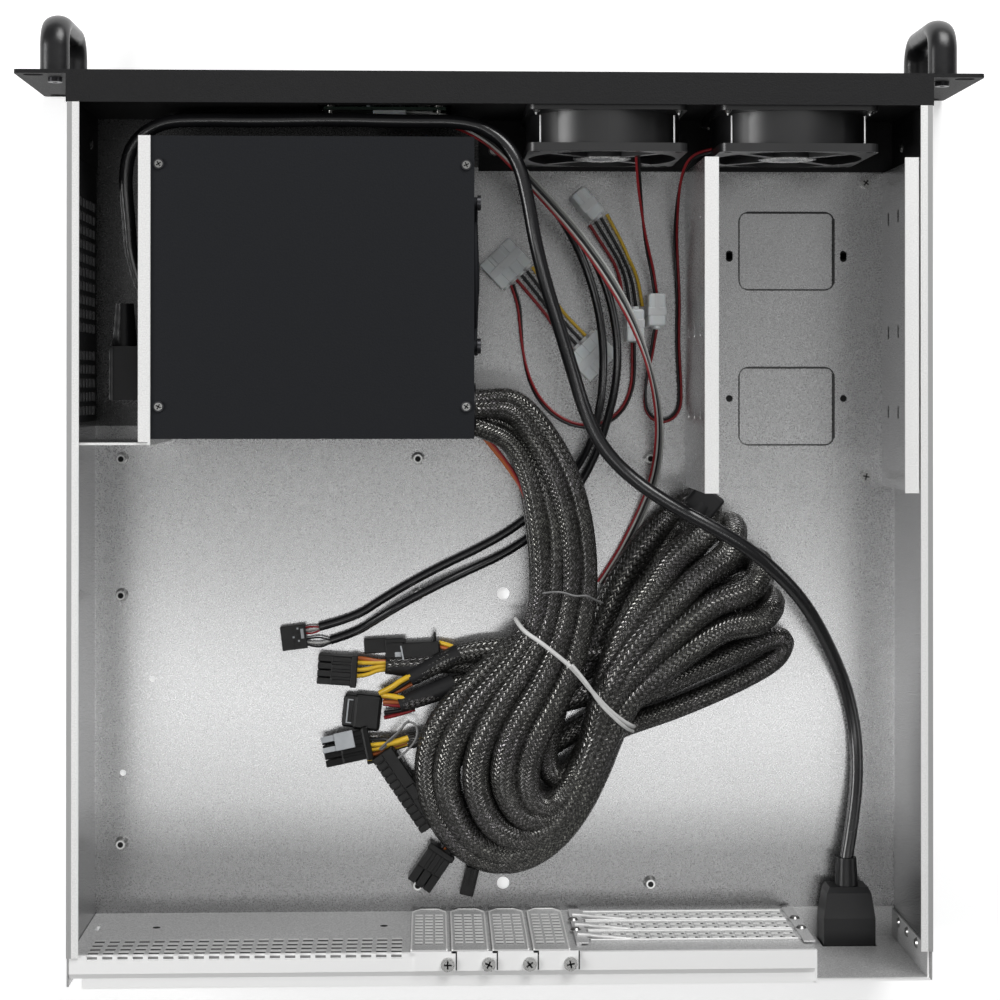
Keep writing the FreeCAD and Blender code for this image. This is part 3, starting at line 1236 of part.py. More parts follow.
# nylon power plugs lying on the floor: two flat, three on edge
plug_long = 19.0
plug_wide = 21.6
plug_thick = 9.6
nylon = []
for x, y, angle, flat in ((-4.6, -120.0, 134, True), (-50.4, -71.9, -45, True), (-47.6, -151.4, 131, False),
                          (-84.0, -95.0, 90, False), (-72.5, -88.0, -90, False)):
    wide = plug_wide if flat else plug_thick
    tall = plug_thick if flat else plug_wide
    long = plug_long if flat else plug_long - 0.2
    body = round_box(x - long / 2, x + long / 2, y - wide / 2, y + wide / 2, sheet, sheet + tall,
                     (0, 0, 1), 1.2)
    nylon.append(turned(body, (x, y, 0), angle))
nodes["nylon_plugs"] = Part.makeCompound(nylon)


# harness: the bundle's outer shape as three solids, and its plugs on the floor
def bundle(points, radius, z0, z1):
    parts = []
    for index, (x, y) in enumerate(points):
        parts.append(rod(radius, (x, y, z0), (0, 0, 1), z1 - z0))
        if index:
            px, py = points[index - 1]
            run = math.hypot(x - px, y - py)
            slab = box(0, run, -radius, radius, z0, z1)
            slab.rotate(Vector(0, 0, 0), Vector(0, 0, 1), math.degrees(math.atan2(y - py, x - px)))
            slab.translate(Vector(px, py, 0))
            parts.append(slab)
    return fuse(parts)


def outline_solid(points, z0, z1):
    curve = Part.BSplineCurve()
    curve.interpolate(Points=[Vector(x, y, z0) for x, y in points], PeriodicFlag=True)
    return Part.Face(Part.Wire([curve.toShape()])).extrude(Vector(0, 0, z1 - z0))


bundle_radius = 14.5
bundle_low = 12.0
bundle_high = 52.0
hank_high = 42.0
leg = fuse([
    rod(exit_radius - 1.8, (psu_x0 - 1.5, exit_y, exit_z), (-1, 0, 0), 18),
    bundle([(-6, -41), (-17, -30), (-25, -14), (-31, 5), (-35, 27), (-36, 50)],
           bundle_radius, bundle_low, bundle_high),
])
loop_outline = [(-24, 52), (-4, 72), (15, 101), (34, 122), (42, 148), (34, 174), (17, 190), (-3, 199),
                (-25, 196), (-42, 183), (-57, 162), (-68, 137), (-70, 108), (-60, 76), (-48, 56)]
fan_outline = [(-66, 40), (-82, 20), (-99, 3), (-113, 3), (-127, 18), (-141, 37), (-150, 58), (-151, 82),
               (-138, 99), (-116, 109), (-90, 121), (-68, 128), (-50, 110), (-48, 70)]
loop = outline_solid(loop_outline, sheet, hank_high)
fan = outline_solid(fan_outline, sheet, hank_high)
nodes["harness_leg"] = leg
nodes["harness_loop"] = loop.cut(leg)
nodes["harness_fan"] = cut(fan, [leg, loop] + seat_room)

tie_points = [(-7, 60), (-22, 74), (-40, 92), (-58, 110)]
nodes["wire_ties"] = bundle(tie_points, 1.2, hank_high, hank_high + 2.0)

harness_plugs = []
for x, y, angle, length, width, height in (
        (85.0, 95.0, -4, 21, 17, 11.5),
        (50.5, 84.5, 8, 36, 11, 8.0),
        (70.5, 117.5, -8, 21, 20, 10.0),
        (81.0, 138.0, 14, 25, 18, 11.5),
        (47.5, 157.5, 124, 50, 11.5, 15.0),
        (35.0, 197.0, 52, 21, 15, 11.5),
        (14.5, 211.5, 74, 16, 8, 8.0)):
    body = round_box(x - length / 2, x + length / 2, y - width / 2, y + width / 2, sheet, sheet + height,
                     (0, 0, 1), 0.8)
    harness_plugs.append(turned(body, (x, y, 0), angle))
trim = Part.makeCompound([nodes["harness_loop"], nodes["harness_leg"]])
nodes["harness_plugs"] = Part.makeCompound([plug.cut(trim) for plug in harness_plugs])

# Each cord's end is trimmed to the face of what it enters.
cord_ends = {
    "mains_cord": ["psu_plug", "rear_inlet"],
    "usb_cable_a": ["usb_header_plug", "io_plugs"],
    "usb_cable_b": ["usb_header_plug", "io_plugs"],
    "panel_ribbon": ["io_plugs", "harness_fan"],
    "fan_lead_left": ["fan_frame_left", "nylon_plugs"],
    "fan_lead_right": ["fan_frame_right", "nylon_plugs"],
    "adapter_lead": ["nylon_plugs"],
    "jumper_a": ["nylon_plugs"],
    "jumper_b": ["nylon_plugs"]}
for name, ends in cord_ends.items():
    trimmed = cut(nodes[name], [nodes[end] for end in ends])
    nodes[name] = max(trimmed.Solids, key=lambda solid: solid.Volume)
nodes["harness_leg"] = cut(nodes["harness_leg"], [nodes["usb_cable_a"]])

os.makedirs("parts", exist_ok=True)
for name, shape in nodes.items():
    shape.exportStep(os.path.join("parts", name + ".step"))
print("%d nodes" % len(nodes))
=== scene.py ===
import json
import math

import bmesh
import bpy
from mathutils import Matrix, Vector


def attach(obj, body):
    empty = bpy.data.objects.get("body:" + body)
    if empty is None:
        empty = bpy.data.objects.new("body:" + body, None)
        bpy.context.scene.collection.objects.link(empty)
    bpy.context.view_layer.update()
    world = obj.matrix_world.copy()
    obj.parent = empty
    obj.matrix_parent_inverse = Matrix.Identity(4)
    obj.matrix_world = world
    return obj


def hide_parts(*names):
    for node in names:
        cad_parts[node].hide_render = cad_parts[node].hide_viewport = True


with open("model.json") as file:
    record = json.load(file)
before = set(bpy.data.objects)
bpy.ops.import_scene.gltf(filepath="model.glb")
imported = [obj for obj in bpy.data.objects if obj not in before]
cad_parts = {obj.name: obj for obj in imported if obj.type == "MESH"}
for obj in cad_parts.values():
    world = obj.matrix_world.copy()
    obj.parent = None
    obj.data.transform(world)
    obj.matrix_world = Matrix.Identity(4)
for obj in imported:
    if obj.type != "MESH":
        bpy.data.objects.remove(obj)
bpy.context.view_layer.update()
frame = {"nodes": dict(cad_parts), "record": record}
nodes = frame["nodes"]

# ---------------------------------------------------------------------------------------------
# Camera. It hangs over the open case and looks almost straight down, with the front panel at
# the top of the view.
camera = bpy.data.objects.new("camera", bpy.data.cameras.new("camera"))
camera.data.lens = 77.69
camera.data.shift_y = -0.1225
camera.data.clip_end = 20.0
camera.location = (0.0358, -0.0550, 1.1577)
camera.rotation_euler = [math.radians(turn) for turn in (0.239, -1.849, 180.019)]
bpy.context.collection.objects.link(camera)
bpy.context.scene.camera = camera


# ---------------------------------------------------------------------------------------------
# Mains cord. A 7 mm round flexible cord, black PVC with a soft shine, runs from a moulded plug
# on the power supply, round the front of the case and back to the inlet on the rear wall.
class Socket:
    """A shader output that takes arithmetic: each operator adds its Math node."""

    def __init__(self, tree, out):
        self.tree = tree
        self.out = out

    def maths(self, operation, *values):
        return self.tree.add("ShaderNodeMath", {"operation": operation}, *values)

    def __add__(self, other):
        return self.maths("ADD", self, other)

    def __radd__(self, other):
        return self.maths("ADD", other, self)

    def __sub__(self, other):
        return self.maths("SUBTRACT", self, other)

    def __rsub__(self, other):
        return self.maths("SUBTRACT", other, self)

    def __mul__(self, other):
        return self.maths("MULTIPLY", self, other)

    def __rmul__(self, other):
        return self.maths("MULTIPLY", other, self)

    def __pow__(self, other):
        return self.maths("POWER", self, other)

    def over(self, limit):
        return self.maths("GREATER_THAN", self, limit)

    def part(self):
        return self.maths("FRACT", self)

    def size(self):
        return self.maths("ABSOLUTE", self)

    def most(self, other):
        return self.maths("MAXIMUM", self, other)

    def whole(self):
        return self.maths("FLOOR", self)

    def ramp(self, *stops):
        """Straight steps between (place, value) stops, as greys."""
        colours = [(place, (value, value, value)) for place, value in stops]
        return self.tree.add("ShaderNodeValToRGB", {"stops": colours}, self)


class Finish:
    """One material: a Principled surface whose sockets are set by name."""

    def __init__(self, name, **sockets):
        self.material = bpy.data.materials.new(name)
        self.material.use_nodes = True
        self.nodes = self.material.node_tree.nodes
        self.surface = self.nodes["Principled BSDF"]
        self.set(**sockets)

    def add(self, kind, settings, *inputs, output=0):
        """A node with these settings; each input is a value, another socket, or None to leave it."""
        node = self.nodes.new(kind)
        for name, value in settings.items():
            if name == "stops":
                ramp = node.color_ramp
                ramp.elements[0].position = value[0][0]
                ramp.elements[0].color = (*value[0][1], 1)
                ramp.elements[1].position = value[-1][0]
                ramp.elements[1].color = (*value[-1][1], 1)
                for place, colour in value[1:-1]:
                    ramp.elements.new(place).color = (*colour, 1)
            else:
                setattr(node, name, value)
        for index, value in enumerate(inputs):
            self.feed(node.inputs[index], value)
        return Socket(self, node.outputs[output])

    def feed(self, socket, value):
        if isinstance(value, Socket):
            self.material.node_tree.links.new(value.out, socket)
        elif value is not None:
            if socket.type == "RGBA" and len(value) == 3:
                value = (*value, 1)
            socket.default_value = value

    def set(self, **sockets):
        for name, value in sockets.items():
            self.feed(self.surface.inputs[name.replace("_", " ").title().replace("Ior", "IOR")], value)
        return self

    def place(self):
        """The point on the piece, in metres."""
        return self.add("ShaderNodeTexCoord", {}, output=3)

    def along(self):
        """The piece's own UV map: round it, and along it."""
        return self.add("ShaderNodeUVMap", {"uv_map": "UVMap"})

    def split(self, vector):
        """The vector's three shares."""
        first = self.add("ShaderNodeSeparateXYZ", {}, vector)
        return [Socket(self, out) for out in first.out.node.outputs]

    def noise(self, scale, detail=3.0):
        return self.add("ShaderNodeTexNoise", {}, self.place(), None, scale, detail)

    def blend(self, share, first, second):
        """A colour between the two; a Mix node takes its colours after five sockets of other kinds."""
        others = [None] * 5
        return self.add("ShaderNodeMix", {"data_type": "RGBA"}, share, *others, first, second, output=2)

    def bump(self, height, strength, distance):
        return self.set(normal=self.add("ShaderNodeBump", {}, strength, distance, None, height))


def route(name, points, slim=(), taper=()):
    """A curve of one open spline with these points, given in millimetres, as its control points.
    slim and taper give the first and the last points' shares of the full radius."""
    curve = bpy.data.curves.new(name, "CURVE")
    curve.dimensions = "3D"
    curve.resolution_u = 8
    spline = curve.splines.new("NURBS")
    spline.points.add(len(points) - 1)
    for point, place in zip(spline.points, points):
        point.co = (*(Vector(place) / 1000), 1)
    for index, share in enumerate(slim):
        spline.points[index].radius = share
    for index, share in enumerate(reversed(taper)):
        spline.points[-1 - index].radius = share
    spline.order_u = 3
    spline.use_endpoint_u = True
    piece = bpy.data.objects.new(name, curve)
    bpy.context.collection.objects.link(piece)
    return piece


def run_of(piece):
    """The points that a route's spline passes through, its length, and the piece left as it was."""
    bpy.context.view_layer.update()
    line = bpy.data.meshes.new_from_object(piece.evaluated_get(bpy.context.evaluated_depsgraph_get()))
    places = [vertex.co.copy() for vertex in line.vertices]
    bpy.data.meshes.remove(line)
    return places, sum((b - a).length for a, b in zip(places, places[1:]))


def flesh(piece, radius, around=4):
    """The route's curve gets its round section and becomes a mesh. Its UV map runs along it, in
    metres, and once round it."""
    length = run_of(piece)[1]
    piece.data.bevel_depth = radius
    piece.data.bevel_resolution = around
    piece.data.use_fill_caps = True
    bpy.context.view_layer.update()
    mesh = bpy.data.meshes.new_from_object(piece.evaluated_get(bpy.context.evaluated_depsgraph_get()))
    solid = bpy.data.objects.new(piece.name, mesh)
    bpy.context.collection.objects.link(solid)
    name = piece.name
    bpy.data.objects.remove(piece)
    solid.name = name
    for corner in mesh.uv_layers["UVMap"].data:
        corner.uv.x *= length
    for face in mesh.polygons:
        face.use_smooth = len(face.vertices) == 4
    return solid


def dress(piece, finish, body="case"):
    """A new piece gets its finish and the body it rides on."""
    piece.data.materials.clear()
    piece.data.materials.append(finish.material)
    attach(piece, body)
    return piece


def coat(finish, slot, *named):
    """The finish goes on the solids with this material slot, or only on the named ones."""
    for part in frame["record"]["subparts"]:
        if part["node"] in named or (not named and part["material_slot"] == slot):
            skin = nodes[part["node"]].data.materials
            skin.clear()
            skin.append(finish.material)


cord_jacket = Finish("cord_jacket", base_color=(0.007, 0.007, 0.008), specular_ior_level=0.8)
cord_jacket.set(roughness=cord_jacket.noise(60.0) * 0.12 + 0.2)
cord_jacket.bump(cord_jacket.noise(900.0, 2.0), 0.15, 0.0002)
coat(cord_jacket, "cord_jacket")

mains = route("mains_cord_jacket", [
    (181, -98, 44), (189, -119, 47), (189.5, -140, 52), (191, -161, 57), (187, -178, 62),
    (171.5, -188.5, 66), (150, -189, 69), (122, -188.4, 71), (84, -189.3, 71), (50, -188.4, 71),
    (17, -188.5, 72), (1.8, -181.4, 73.5), (-8.5, -168, 75), (-13.2, -149, 75), (-16.8, -128, 73),
    (-22.5, -106.5, 69), (-30, -84, 64), (-37, -62, 59), (-43.5, -41, 56), (-52.5, -23, 56),
    (-67, -8, 56), (-86, 5, 59), (-107, 16, 61), (-127, 28, 58), (-143, 41, 50), (-157, 55, 39),
    (-168, 70, 27), (-178, 87, 15), (-187, 106, 7.5), (-192, 128, 5.6), (-192.8, 149, 7.6),
    (-190.6, 170, 11.5), (-185.7, 196.5, 14),
])
mains_width = 0.007
mains_line, mains_length = run_of(mains)
mains = dress(flesh(mains, mains_width / 2, 5), cord_jacket)
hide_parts("mains_cord")

# ---------------------------------------------------------------------------------------------
# Front socket cables. Two round black cables drop from the sockets' board to the floor and end
# together in one two-row header plug.
socket_routes = {
    "socket_cable_upper": ("usb_cable_a", [
        (34.5, -192.6, 52), (25, -192.4, 52.4), (13.5, -189.5, 53.4), (2.5, -182, 54), (-7, -171, 53.5),
        (-17, -160, 50.5), (-27, -148.5, 44), (-37, -135, 37), (-45, -119, 32), (-51, -101, 30),
        (-54.5, -82, 29), (-55, -62, 28), (-53.5, -44, 25), (-49.5, -27, 18), (-42.5, -12, 10),
        (-32, 1.5, 5), (-18.5, 13.5, 3.6), (-4, 24, 3.5), (12, 32.5, 3.4), (30, 41, 3.5), (47, 50, 3.6),
        (62, 59, 3.5), (76.5, 68.5, 3.6), (95, 73.2, 4.6)]),
    "socket_cable_lower": ("usb_cable_b", [
        (34.5, -192.6, 40), (25, -192.4, 40.3), (13.5, -188.5, 40.8), (2, -180.5, 40.5), (-8.5, -169, 39),
        (-19, -158, 36), (-31, -147, 32), (-43.5, -133, 28), (-53.5, -116, 25), (-60, -97, 24),
        (-63, -77, 23), (-62.5, -57, 20), (-58.5, -38, 15), (-53, -20, 8.5), (-45, -3.5, 4.4),
        (-33.5, 11.5, 3.5), (-19.5, 24.5, 3.4), (-3, 35, 3.8), (15, 43, 6.4), (33, 51, 11.2),
        (51, 60.5, 11.2), (65, 69.5, 6.4), (76, 76.5, 3.9), (89, 80.4, 4.4)]),
}
socket_cable_width = 0.0045
for name, (solid, points) in socket_routes.items():
    cable = route(name, points)
    line, length = run_of(cable)
    cable = dress(flesh(cable, socket_cable_width / 2), cord_jacket)
    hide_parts(solid)

# ---------------------------------------------------------------------------------------------
# Thin insulated wires. PVC-covered single wires in red, black, yellow, white and grey: a flat
# ribbon of five from the front board, a pair from each fan, and short sets between power plugs.
wire_colours = {
    "red": (0.36, 0.016, 0.022), "black": (0.010, 0.010, 0.011), "yellow": (0.86, 0.55, 0.035),
    "white": (0.62, 0.62, 0.60), "grey": (0.22, 0.22, 0.22), "orange": (0.50, 0.13, 0.03),
}
wire_finishes = {}
for colour, value in wire_colours.items():
    cover = Finish("wire_" + colour)
    dull = tuple(0.75 * channel for channel in value)
    cover.set(base_color=cover.blend(cover.noise(120.0), dull, value),
              roughness=cover.noise(80.0) * 0.15 + 0.28)
    cover.bump(cover.noise(1200.0, 2.0), 0.1, 0.0001)
    wire_finishes[colour] = cover
coat(cord_jacket, "lead_jacket")


def wire_set(name, points, wires, radius, spread=((0, 1), (1, 1)), turn=((0, 0), (1, 0))):
    """Wires laid beside each other along one route; returns the mesh and the route's line.

    wires are (colour, side, up) in wire widths; spread and turn give, at shares of the length,
    how far apart the wires lie and by how many degrees the set is turned about its route."""

    def level(steps, share):
        for (low, first), (high, last) in zip(steps, steps[1:]):
            if share <= high:
                return first + (last - first) * (share - low) / (high - low)
        return steps[-1][1]

    guide = route(name, points)
    line, length = run_of(guide)
    end = len(line) - 1
    guide.data.splines.clear()
    guide.data.resolution_u = 2
    for colour, side, up in wires:
        spline = guide.data.splines.new("NURBS")
        spline.points.add(end // 3)
        for index, point in enumerate(spline.points):
            at = 3 * index if index < end // 3 else end
            way = line[min(at + 1, end)] - line[max(at - 1, 0)]
            across = way.cross(Vector((0, 0, 1))).normalized()
            above = across.cross(way).normalized()
            share = at / end
            angle = math.radians(level(turn, share))
            wide = 2 * radius * level(spread, share)
            offset = across * (side * math.cos(angle) - up * math.sin(angle))
            offset += above * (side * math.sin(angle) + up * math.cos(angle))
            point.co = (*(line[at] + offset * wide), 1)
        spline.order_u = 3
        spline.use_endpoint_u = True
        guide.data.materials.append(wire_finishes[colour].material)
        spline.material_index = len(guide.data.materials) - 1
    piece = flesh(guide, radius, 2)
    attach(piece, "case")
    return piece, line, length


ribbon, ribbon_line, ribbon_length = wire_set(
    "panel_ribbon_wires",
    [(48, -192.6, 57), (36, -192, 59), (23, -189.5, 61.5), (9, -182.5, 63), (-3, -172.5, 62),
     (-15, -160, 57), (-27, -148, 50.5), (-39, -135, 45.5), (-50, -121, 43), (-60, -106, 42), (-69, -90, 40),
     (-76, -73, 37), (-81.5, -55, 32), (-85, -37, 24), (-85.5, -19, 14.5), (-83, -2, 7), (-77, 13.5, 4),
     (-70.5, 27, 3.4), (-64, 39, 3.4), (-56, 51, 3.4)],
    [("red", 2, 0), ("white", 1, 0), ("black", 0, 0), ("grey", -1, 0), ("white", -2, 0)], 0.00062,
    spread=((0, 1), (1, 1)), turn=((0, 0), (0.45, 10), (0.6, 60), (0.75, 30), (1, 0)))
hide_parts("panel_ribbon")

pair = [("red", 0.5, 0), ("black", -0.5, 0)]
pair_leads = {
    "fan_wires_left": ("fan_lead_left", [
        (-70, -172.5, 58), (-71.5, -161.5, 48), (-74, -149, 37), (-76.5, -136.5, 27), (-79.5, -125, 19.5),
        (-82.5, -114.5, 14.8), (-84, -104.6, 13)], ((0, 0), (1, 200))),
    "fan_wires_right": ("fan_lead_right", [
        (-109, -176.5, 52), (-102, -176, 46), (-96.8, -170.5, 38.5), (-95, -161, 28.5), (-94.8, -149, 17.5),
        (-95, -134, 8.6), (-96.5, -116, 4), (-97.4, -99, 2.8), (-96.8, -81, 2.6), (-97.5, -66, 2.8),
        (-98.3, -53.5, 3), (-98, -42.5, 3.2), (-92.4, -36.7, 3.5), (-84.7, -36.5, 3.9),
        (-79.2, -42.2, 4.4), (-79, -53, 5.6), (-80.6, -64, 7.4), (-82.6, -75, 9.6), (-84, -85.4, 12)],
        ((0, 0), (0.3, 180), (0.7, 180), (1, 360))),
    "adapter_wires": ("adapter_lead", [
        (-7.9, -109.4, 5.5), (-11.7, -100, 3.4), (-12.4, -88, 2.6), (-13.6, -74.5, 2.5), (-16.2, -61, 2.5),
        (-21.8, -48.5, 2.5), (-31.5, -38.5, 2.6), (-44, -33.2, 2.6), (-57, -34.2, 2.5), (-67.4, -41.8, 2.5),
        (-72.4, -53.5, 3), (-73.2, -66, 4.8), (-72.5, -78.4, 7.6)], ((0, 0), (0.5, 180), (1, 180))),
}
for name, (solid, points, turn) in pair_leads.items():
    lead, line, length = wire_set(name, points, pair, 0.00072, turn=turn)
    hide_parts(solid)

four = [("yellow", -1.5, 0), ("black", -0.5, 0), ("black", 0.5, 0), ("red", 1.5, 0)]
jumpers = {
    "jumper_wires_near": ("jumper_a", [
        (-14.4, -115.6, 5.5), (-22.2, -106, 4.6), (-30, -95, 4), (-36.4, -86.2, 4.6),
        (-43.5, -78.7, 5.5)]),
    "jumper_wires_far": ("jumper_b", [
        (-53.8, -144.3, 7), (-60.5, -133.5, 5.4), (-67, -122, 4.4), (-71.4, -110, 5.2),
        (-72.5, -97.4, 6.5)]),
}
for name, (solid, points) in jumpers.items():
    lead, line, length = wire_set(name, points, four, 0.0009, spread=((0, 2.0), (0.5, 1.5), (1, 1.9)))
    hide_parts(solid)

# ---------------------------------------------------------------------------------------------
# Sleeved power cables. Seven bundles of insulated wires, each pulled through a braided sleeve of
# black monofilament, leave the supply together, turn in a loop, fold over on themselves and
# end at the connectors. A twisted tie holds them at the waist.
mesh_sleeve = Finish("mesh_sleeve", specular_ior_level=0.9)
sleeve_along, sleeve_round = mesh_sleeve.split(mesh_sleeve.along())[:2]
sleeve_turns = 16.0
sleeve_pitch = 400.0
lean_left = sleeve_round * sleeve_turns + sleeve_along * sleeve_pitch
lean_right = sleeve_round * sleeve_turns - sleeve_along * sleeve_pitch
left_on_top = ((lean_left.whole() + lean_right.whole()) * 0.5).part().over(0.25)
crown_left = 1.0 - ((lean_left.part() - 0.5) * 2.2).size()
crown_right = 1.0 - ((lean_right.part() - 0.5) * 2.2).size()
crown = (crown_left * left_on_top + crown_right * (1.0 - left_on_top)).most(0.0) ** 0.5
tint = mesh_sleeve.noise(28.0, 2.0)
spark = mesh_sleeve.noise(520.0, 1.0).ramp((0.46, 0.0), (0.62, 1.0))
strand = mesh_sleeve.blend(tint.ramp((0.35, 0.0), (0.65, 1.0)), (0.26, 0.26, 0.23), (0.25, 0.235, 0.245))
strand = mesh_sleeve.blend(spark, (0.085, 0.083, 0.075), strand)
ridge = crown.ramp((0.45, 0.0), (0.95, 1.0))
mesh_sleeve.set(base_color=mesh_sleeve.blend(ridge, (0.002, 0.002, 0.002), strand),
                metallic=ridge * 0.9, roughness=0.40 - crown * 0.24)
mesh_sleeve.bump(crown, 0.55, 0.0006)
coat(mesh_sleeve, "mesh_sleeve")


def fold(center, radius, heading, lean=0.0):
    """Five control points that take a cable over the end of the hank and back underneath."""
    turn = math.radians(heading)
    points = []
    for step in (90, 45, 0, -45, -90):
        angle = math.radians(step)
        ahead = 1.1 * radius * math.cos(angle)
        aside = lean * step / 90
        points.append((center[0] + ahead * math.cos(turn) - aside * math.sin(turn),
                       center[1] + ahead * math.sin(turn) + aside * math.cos(turn),
                       center[2] + 1.08 * radius * math.sin(angle)))
    return points


sleeved = {
    "main_board_cable": (15.5, [
        (14, -47, 46), (4, -49, 44), (-8, -49, 42), (-21.2, -36, 41), (-33.9, -16, 41), (-41.4, 5, 40),
        (-45.3, 26, 38), (-46.3, 49, 36), (-43.3, 70, 35), (-38, 92, 34), (-27, 113, 33),
        (-17, 132, 32), (-13, 149, 30), (-17, 163, 26), (-28, 167, 22), (-39, 156, 21), (-49, 136, 22),
        (-54, 112, 27), (-60, 88, 30), (-70, 66, 33), (-82, 49, 35), (-92, 33, 36)]
        + fold((-101, 17, 22), 13, 240, -8.5) + [
        (-80, 26, 9), (-64, 50, 9), (-54, 76, 9), (-44, 102, 9), (-20, 118, 9), (6, 132, 9),
        (22, 143, 10)]),
    "main_board_cable_second": (12.5, [
        (14, -49, 40), (4, -50, 38), (-8, -49, 36), (-22, -38, 33), (-31, -18, 30), (-36, 3, 28),
        (-38, 26, 27), (-40, 49, 26), (-42, 70, 24), (-38, 92, 22), (-32, 110, 21), (-27, 127, 20),
        (-25, 141, 19), (-28, 151, 18), (-35, 152, 17), (-43, 144, 17), (-51, 128, 18), (-56, 111, 20),
        (-60, 91, 22), (-68, 73, 24), (-78, 56, 26), (-88, 41, 27)]
        + fold((-97, 27, 18), 10, 237, -5) + [
        (-84, 44, 7.5), (-68, 62, 7.5), (-50, 78, 7.5), (-34, 92, 7.5), (-14, 106, 7.5), (8, 124, 8),
        (26, 142, 9)]),
    "graphics_cable": (14.5, [
        (14, -43, 51), (3, -44, 50), (-7.6, -42, 47), (-19.7, -25, 44), (-29.2, -6, 43),
        (-34.9, 13, 42), (-37.8, 35, 40), (-36.9, 58, 38), (-31, 80, 37), (-21, 102, 37),
        (-9, 121, 36), (-2, 140, 34), (-3, 158, 30), (-14, 173, 25), (-29, 172, 21), (-42, 156, 20),
        (-51, 130, 26), (-56, 104, 35), (-70, 80, 39), (-88, 60, 40), (-104, 43, 39)]
        + fold((-114, 29, 25), 13.5, 233, -7) + [
        (-96, 42, 10), (-82, 62, 9), (-62, 77, 8.5), (-36, 85, 8.5), (-10, 91, 8.5), (16, 92, 8.5),
        (42, 93, 8.5), (58.5, 93.5, 8.5)]),
    "drive_cable": (14.5, [
        (14, -39, 45), (4, -38, 43), (-6.3, -34, 39), (-16.6, -20, 38), (-24.3, 0, 39),
        (-29.1, 20, 39), (-29.5, 44, 38), (-26.7, 66, 36), (-17, 88, 35), (-3, 107, 34), (8, 127, 33),
        (13, 146, 31), (9, 166, 28), (-2, 180, 25), (-18, 183, 22), (-33, 172, 21), (-44, 150, 22),
        (-53, 124, 28), (-61, 104, 34), (-76, 87, 38), (-94, 71, 38), (-112, 57, 37)]
        + fold((-127, 46, 23), 13, 218, -7) + [
        (-108, 56, 9), (-92, 70, 9), (-74, 82, 9), (-52, 88, 10), (-28, 86, 11), (-4, 84, 12),
        (20, 86, 13), (33, 93, 13), (45, 99, 12)]),
    "processor_cable": (14.5, [
        (14, -35, 50), (5, -32, 48), (-5, -27, 44), (-13.6, -13, 42), (-18.6, 6, 42), (-21.7, 28, 40),
        (-22.7, 49, 38), (-19.8, 68, 36), (-8, 88, 33), (9, 106, 31), (22, 126, 29), (28, 145, 26),
        (25, 166, 22), (14, 184, 18), (-2, 192, 16), (-20, 188, 16), (-35, 173, 18), (-47, 152, 22),
        (-56, 130, 26), (-68, 108, 32), (-84, 94, 35), (-103, 80, 34), (-120, 70, 32)]
        + fold((-133, 63, 20), 12, 204, -6.5) + [
        (-118, 70, 8.5), (-102, 84, 8.5), (-82, 96, 8.5), (-60, 105, 9), (-34, 112, 10), (-8, 120, 10),
        (20, 128, 10), (48, 133, 10)]),
    "disk_cable": (14, [
        (14, -36, 39), (5, -34, 35), (-4.8, -28, 30), (-12, -14, 28), (-17.1, 5, 28), (-20.2, 28, 27),
        (-21.1, 52, 26), (-18.1, 71, 26), (0, 87, 26), (17, 104, 24), (32, 122, 21), (38, 142, 17),
        (36, 164, 14), (26, 182, 12), (10, 196, 10), (-9, 198, 10), (-27, 189, 11), (-42, 171, 13),
        (-53, 148, 16), (-60, 128, 19), (-68, 112, 22), (-82, 92, 24), (-100, 72, 26), (-115, 58, 26)]
        + fold((-130, 54, 19.4), 10.5, 210, 6) + [
        (-122, 82, 8.2), (-100, 93, 8.2), (-74, 101, 8.2), (-48, 106, 8.2), (-20, 106, 8.2), (4, 103, 8.2),
        (22, 103, 10), (38, 109.5, 13), (50.5, 113, 13)]),
    "front_cable": (12, [
        (14, -45, 39), (4, -46, 35), (-6.8, -43, 31), (-17.8, -28, 29), (-26.8, -8, 28),
        (-31.9, 14, 27), (-34, 38, 26), (-32.2, 62, 25), (-25, 84, 24), (-15, 106, 22), (-4, 128, 20),
        (0, 148, 19), (-4, 166, 17), (-14, 176, 13), (-28, 172, 9), (-42, 156, 8), (-53, 138, 7.2),
        (-62, 128, 7.2), (-76, 123, 7.2), (-93, 117.5, 7.2), (-114, 109, 7.2), (-134, 99.5, 8),
        (-148, 91, 10), (-153, 81.5, 14), (-148, 77, 17), (-131, 83.5, 19), (-113, 91.5, 19), (-95, 100, 17),
        (-80, 107, 14), (-68, 114, 12), (-48, 124, 8), (-26, 138, 7.2), (-6, 156, 7.2), (8, 174, 7.2),
        (20, 188, 7.2)]),
}
squeezed_leg = [0.7] * 8 + [0.8, 0.9]
thinning_end = [0.92, 0.78, 0.66, 0.62]
for name, (width, points) in sleeved.items():
    cable = route(name, points, squeezed_leg, thinning_end)
    line, length = run_of(cable)
    cable = dress(flesh(cable, width / 2000), mesh_sleeve)
    if name == "main_board_cable":
        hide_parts("harness_leg", "harness_loop", "harness_fan")
    width / 1000

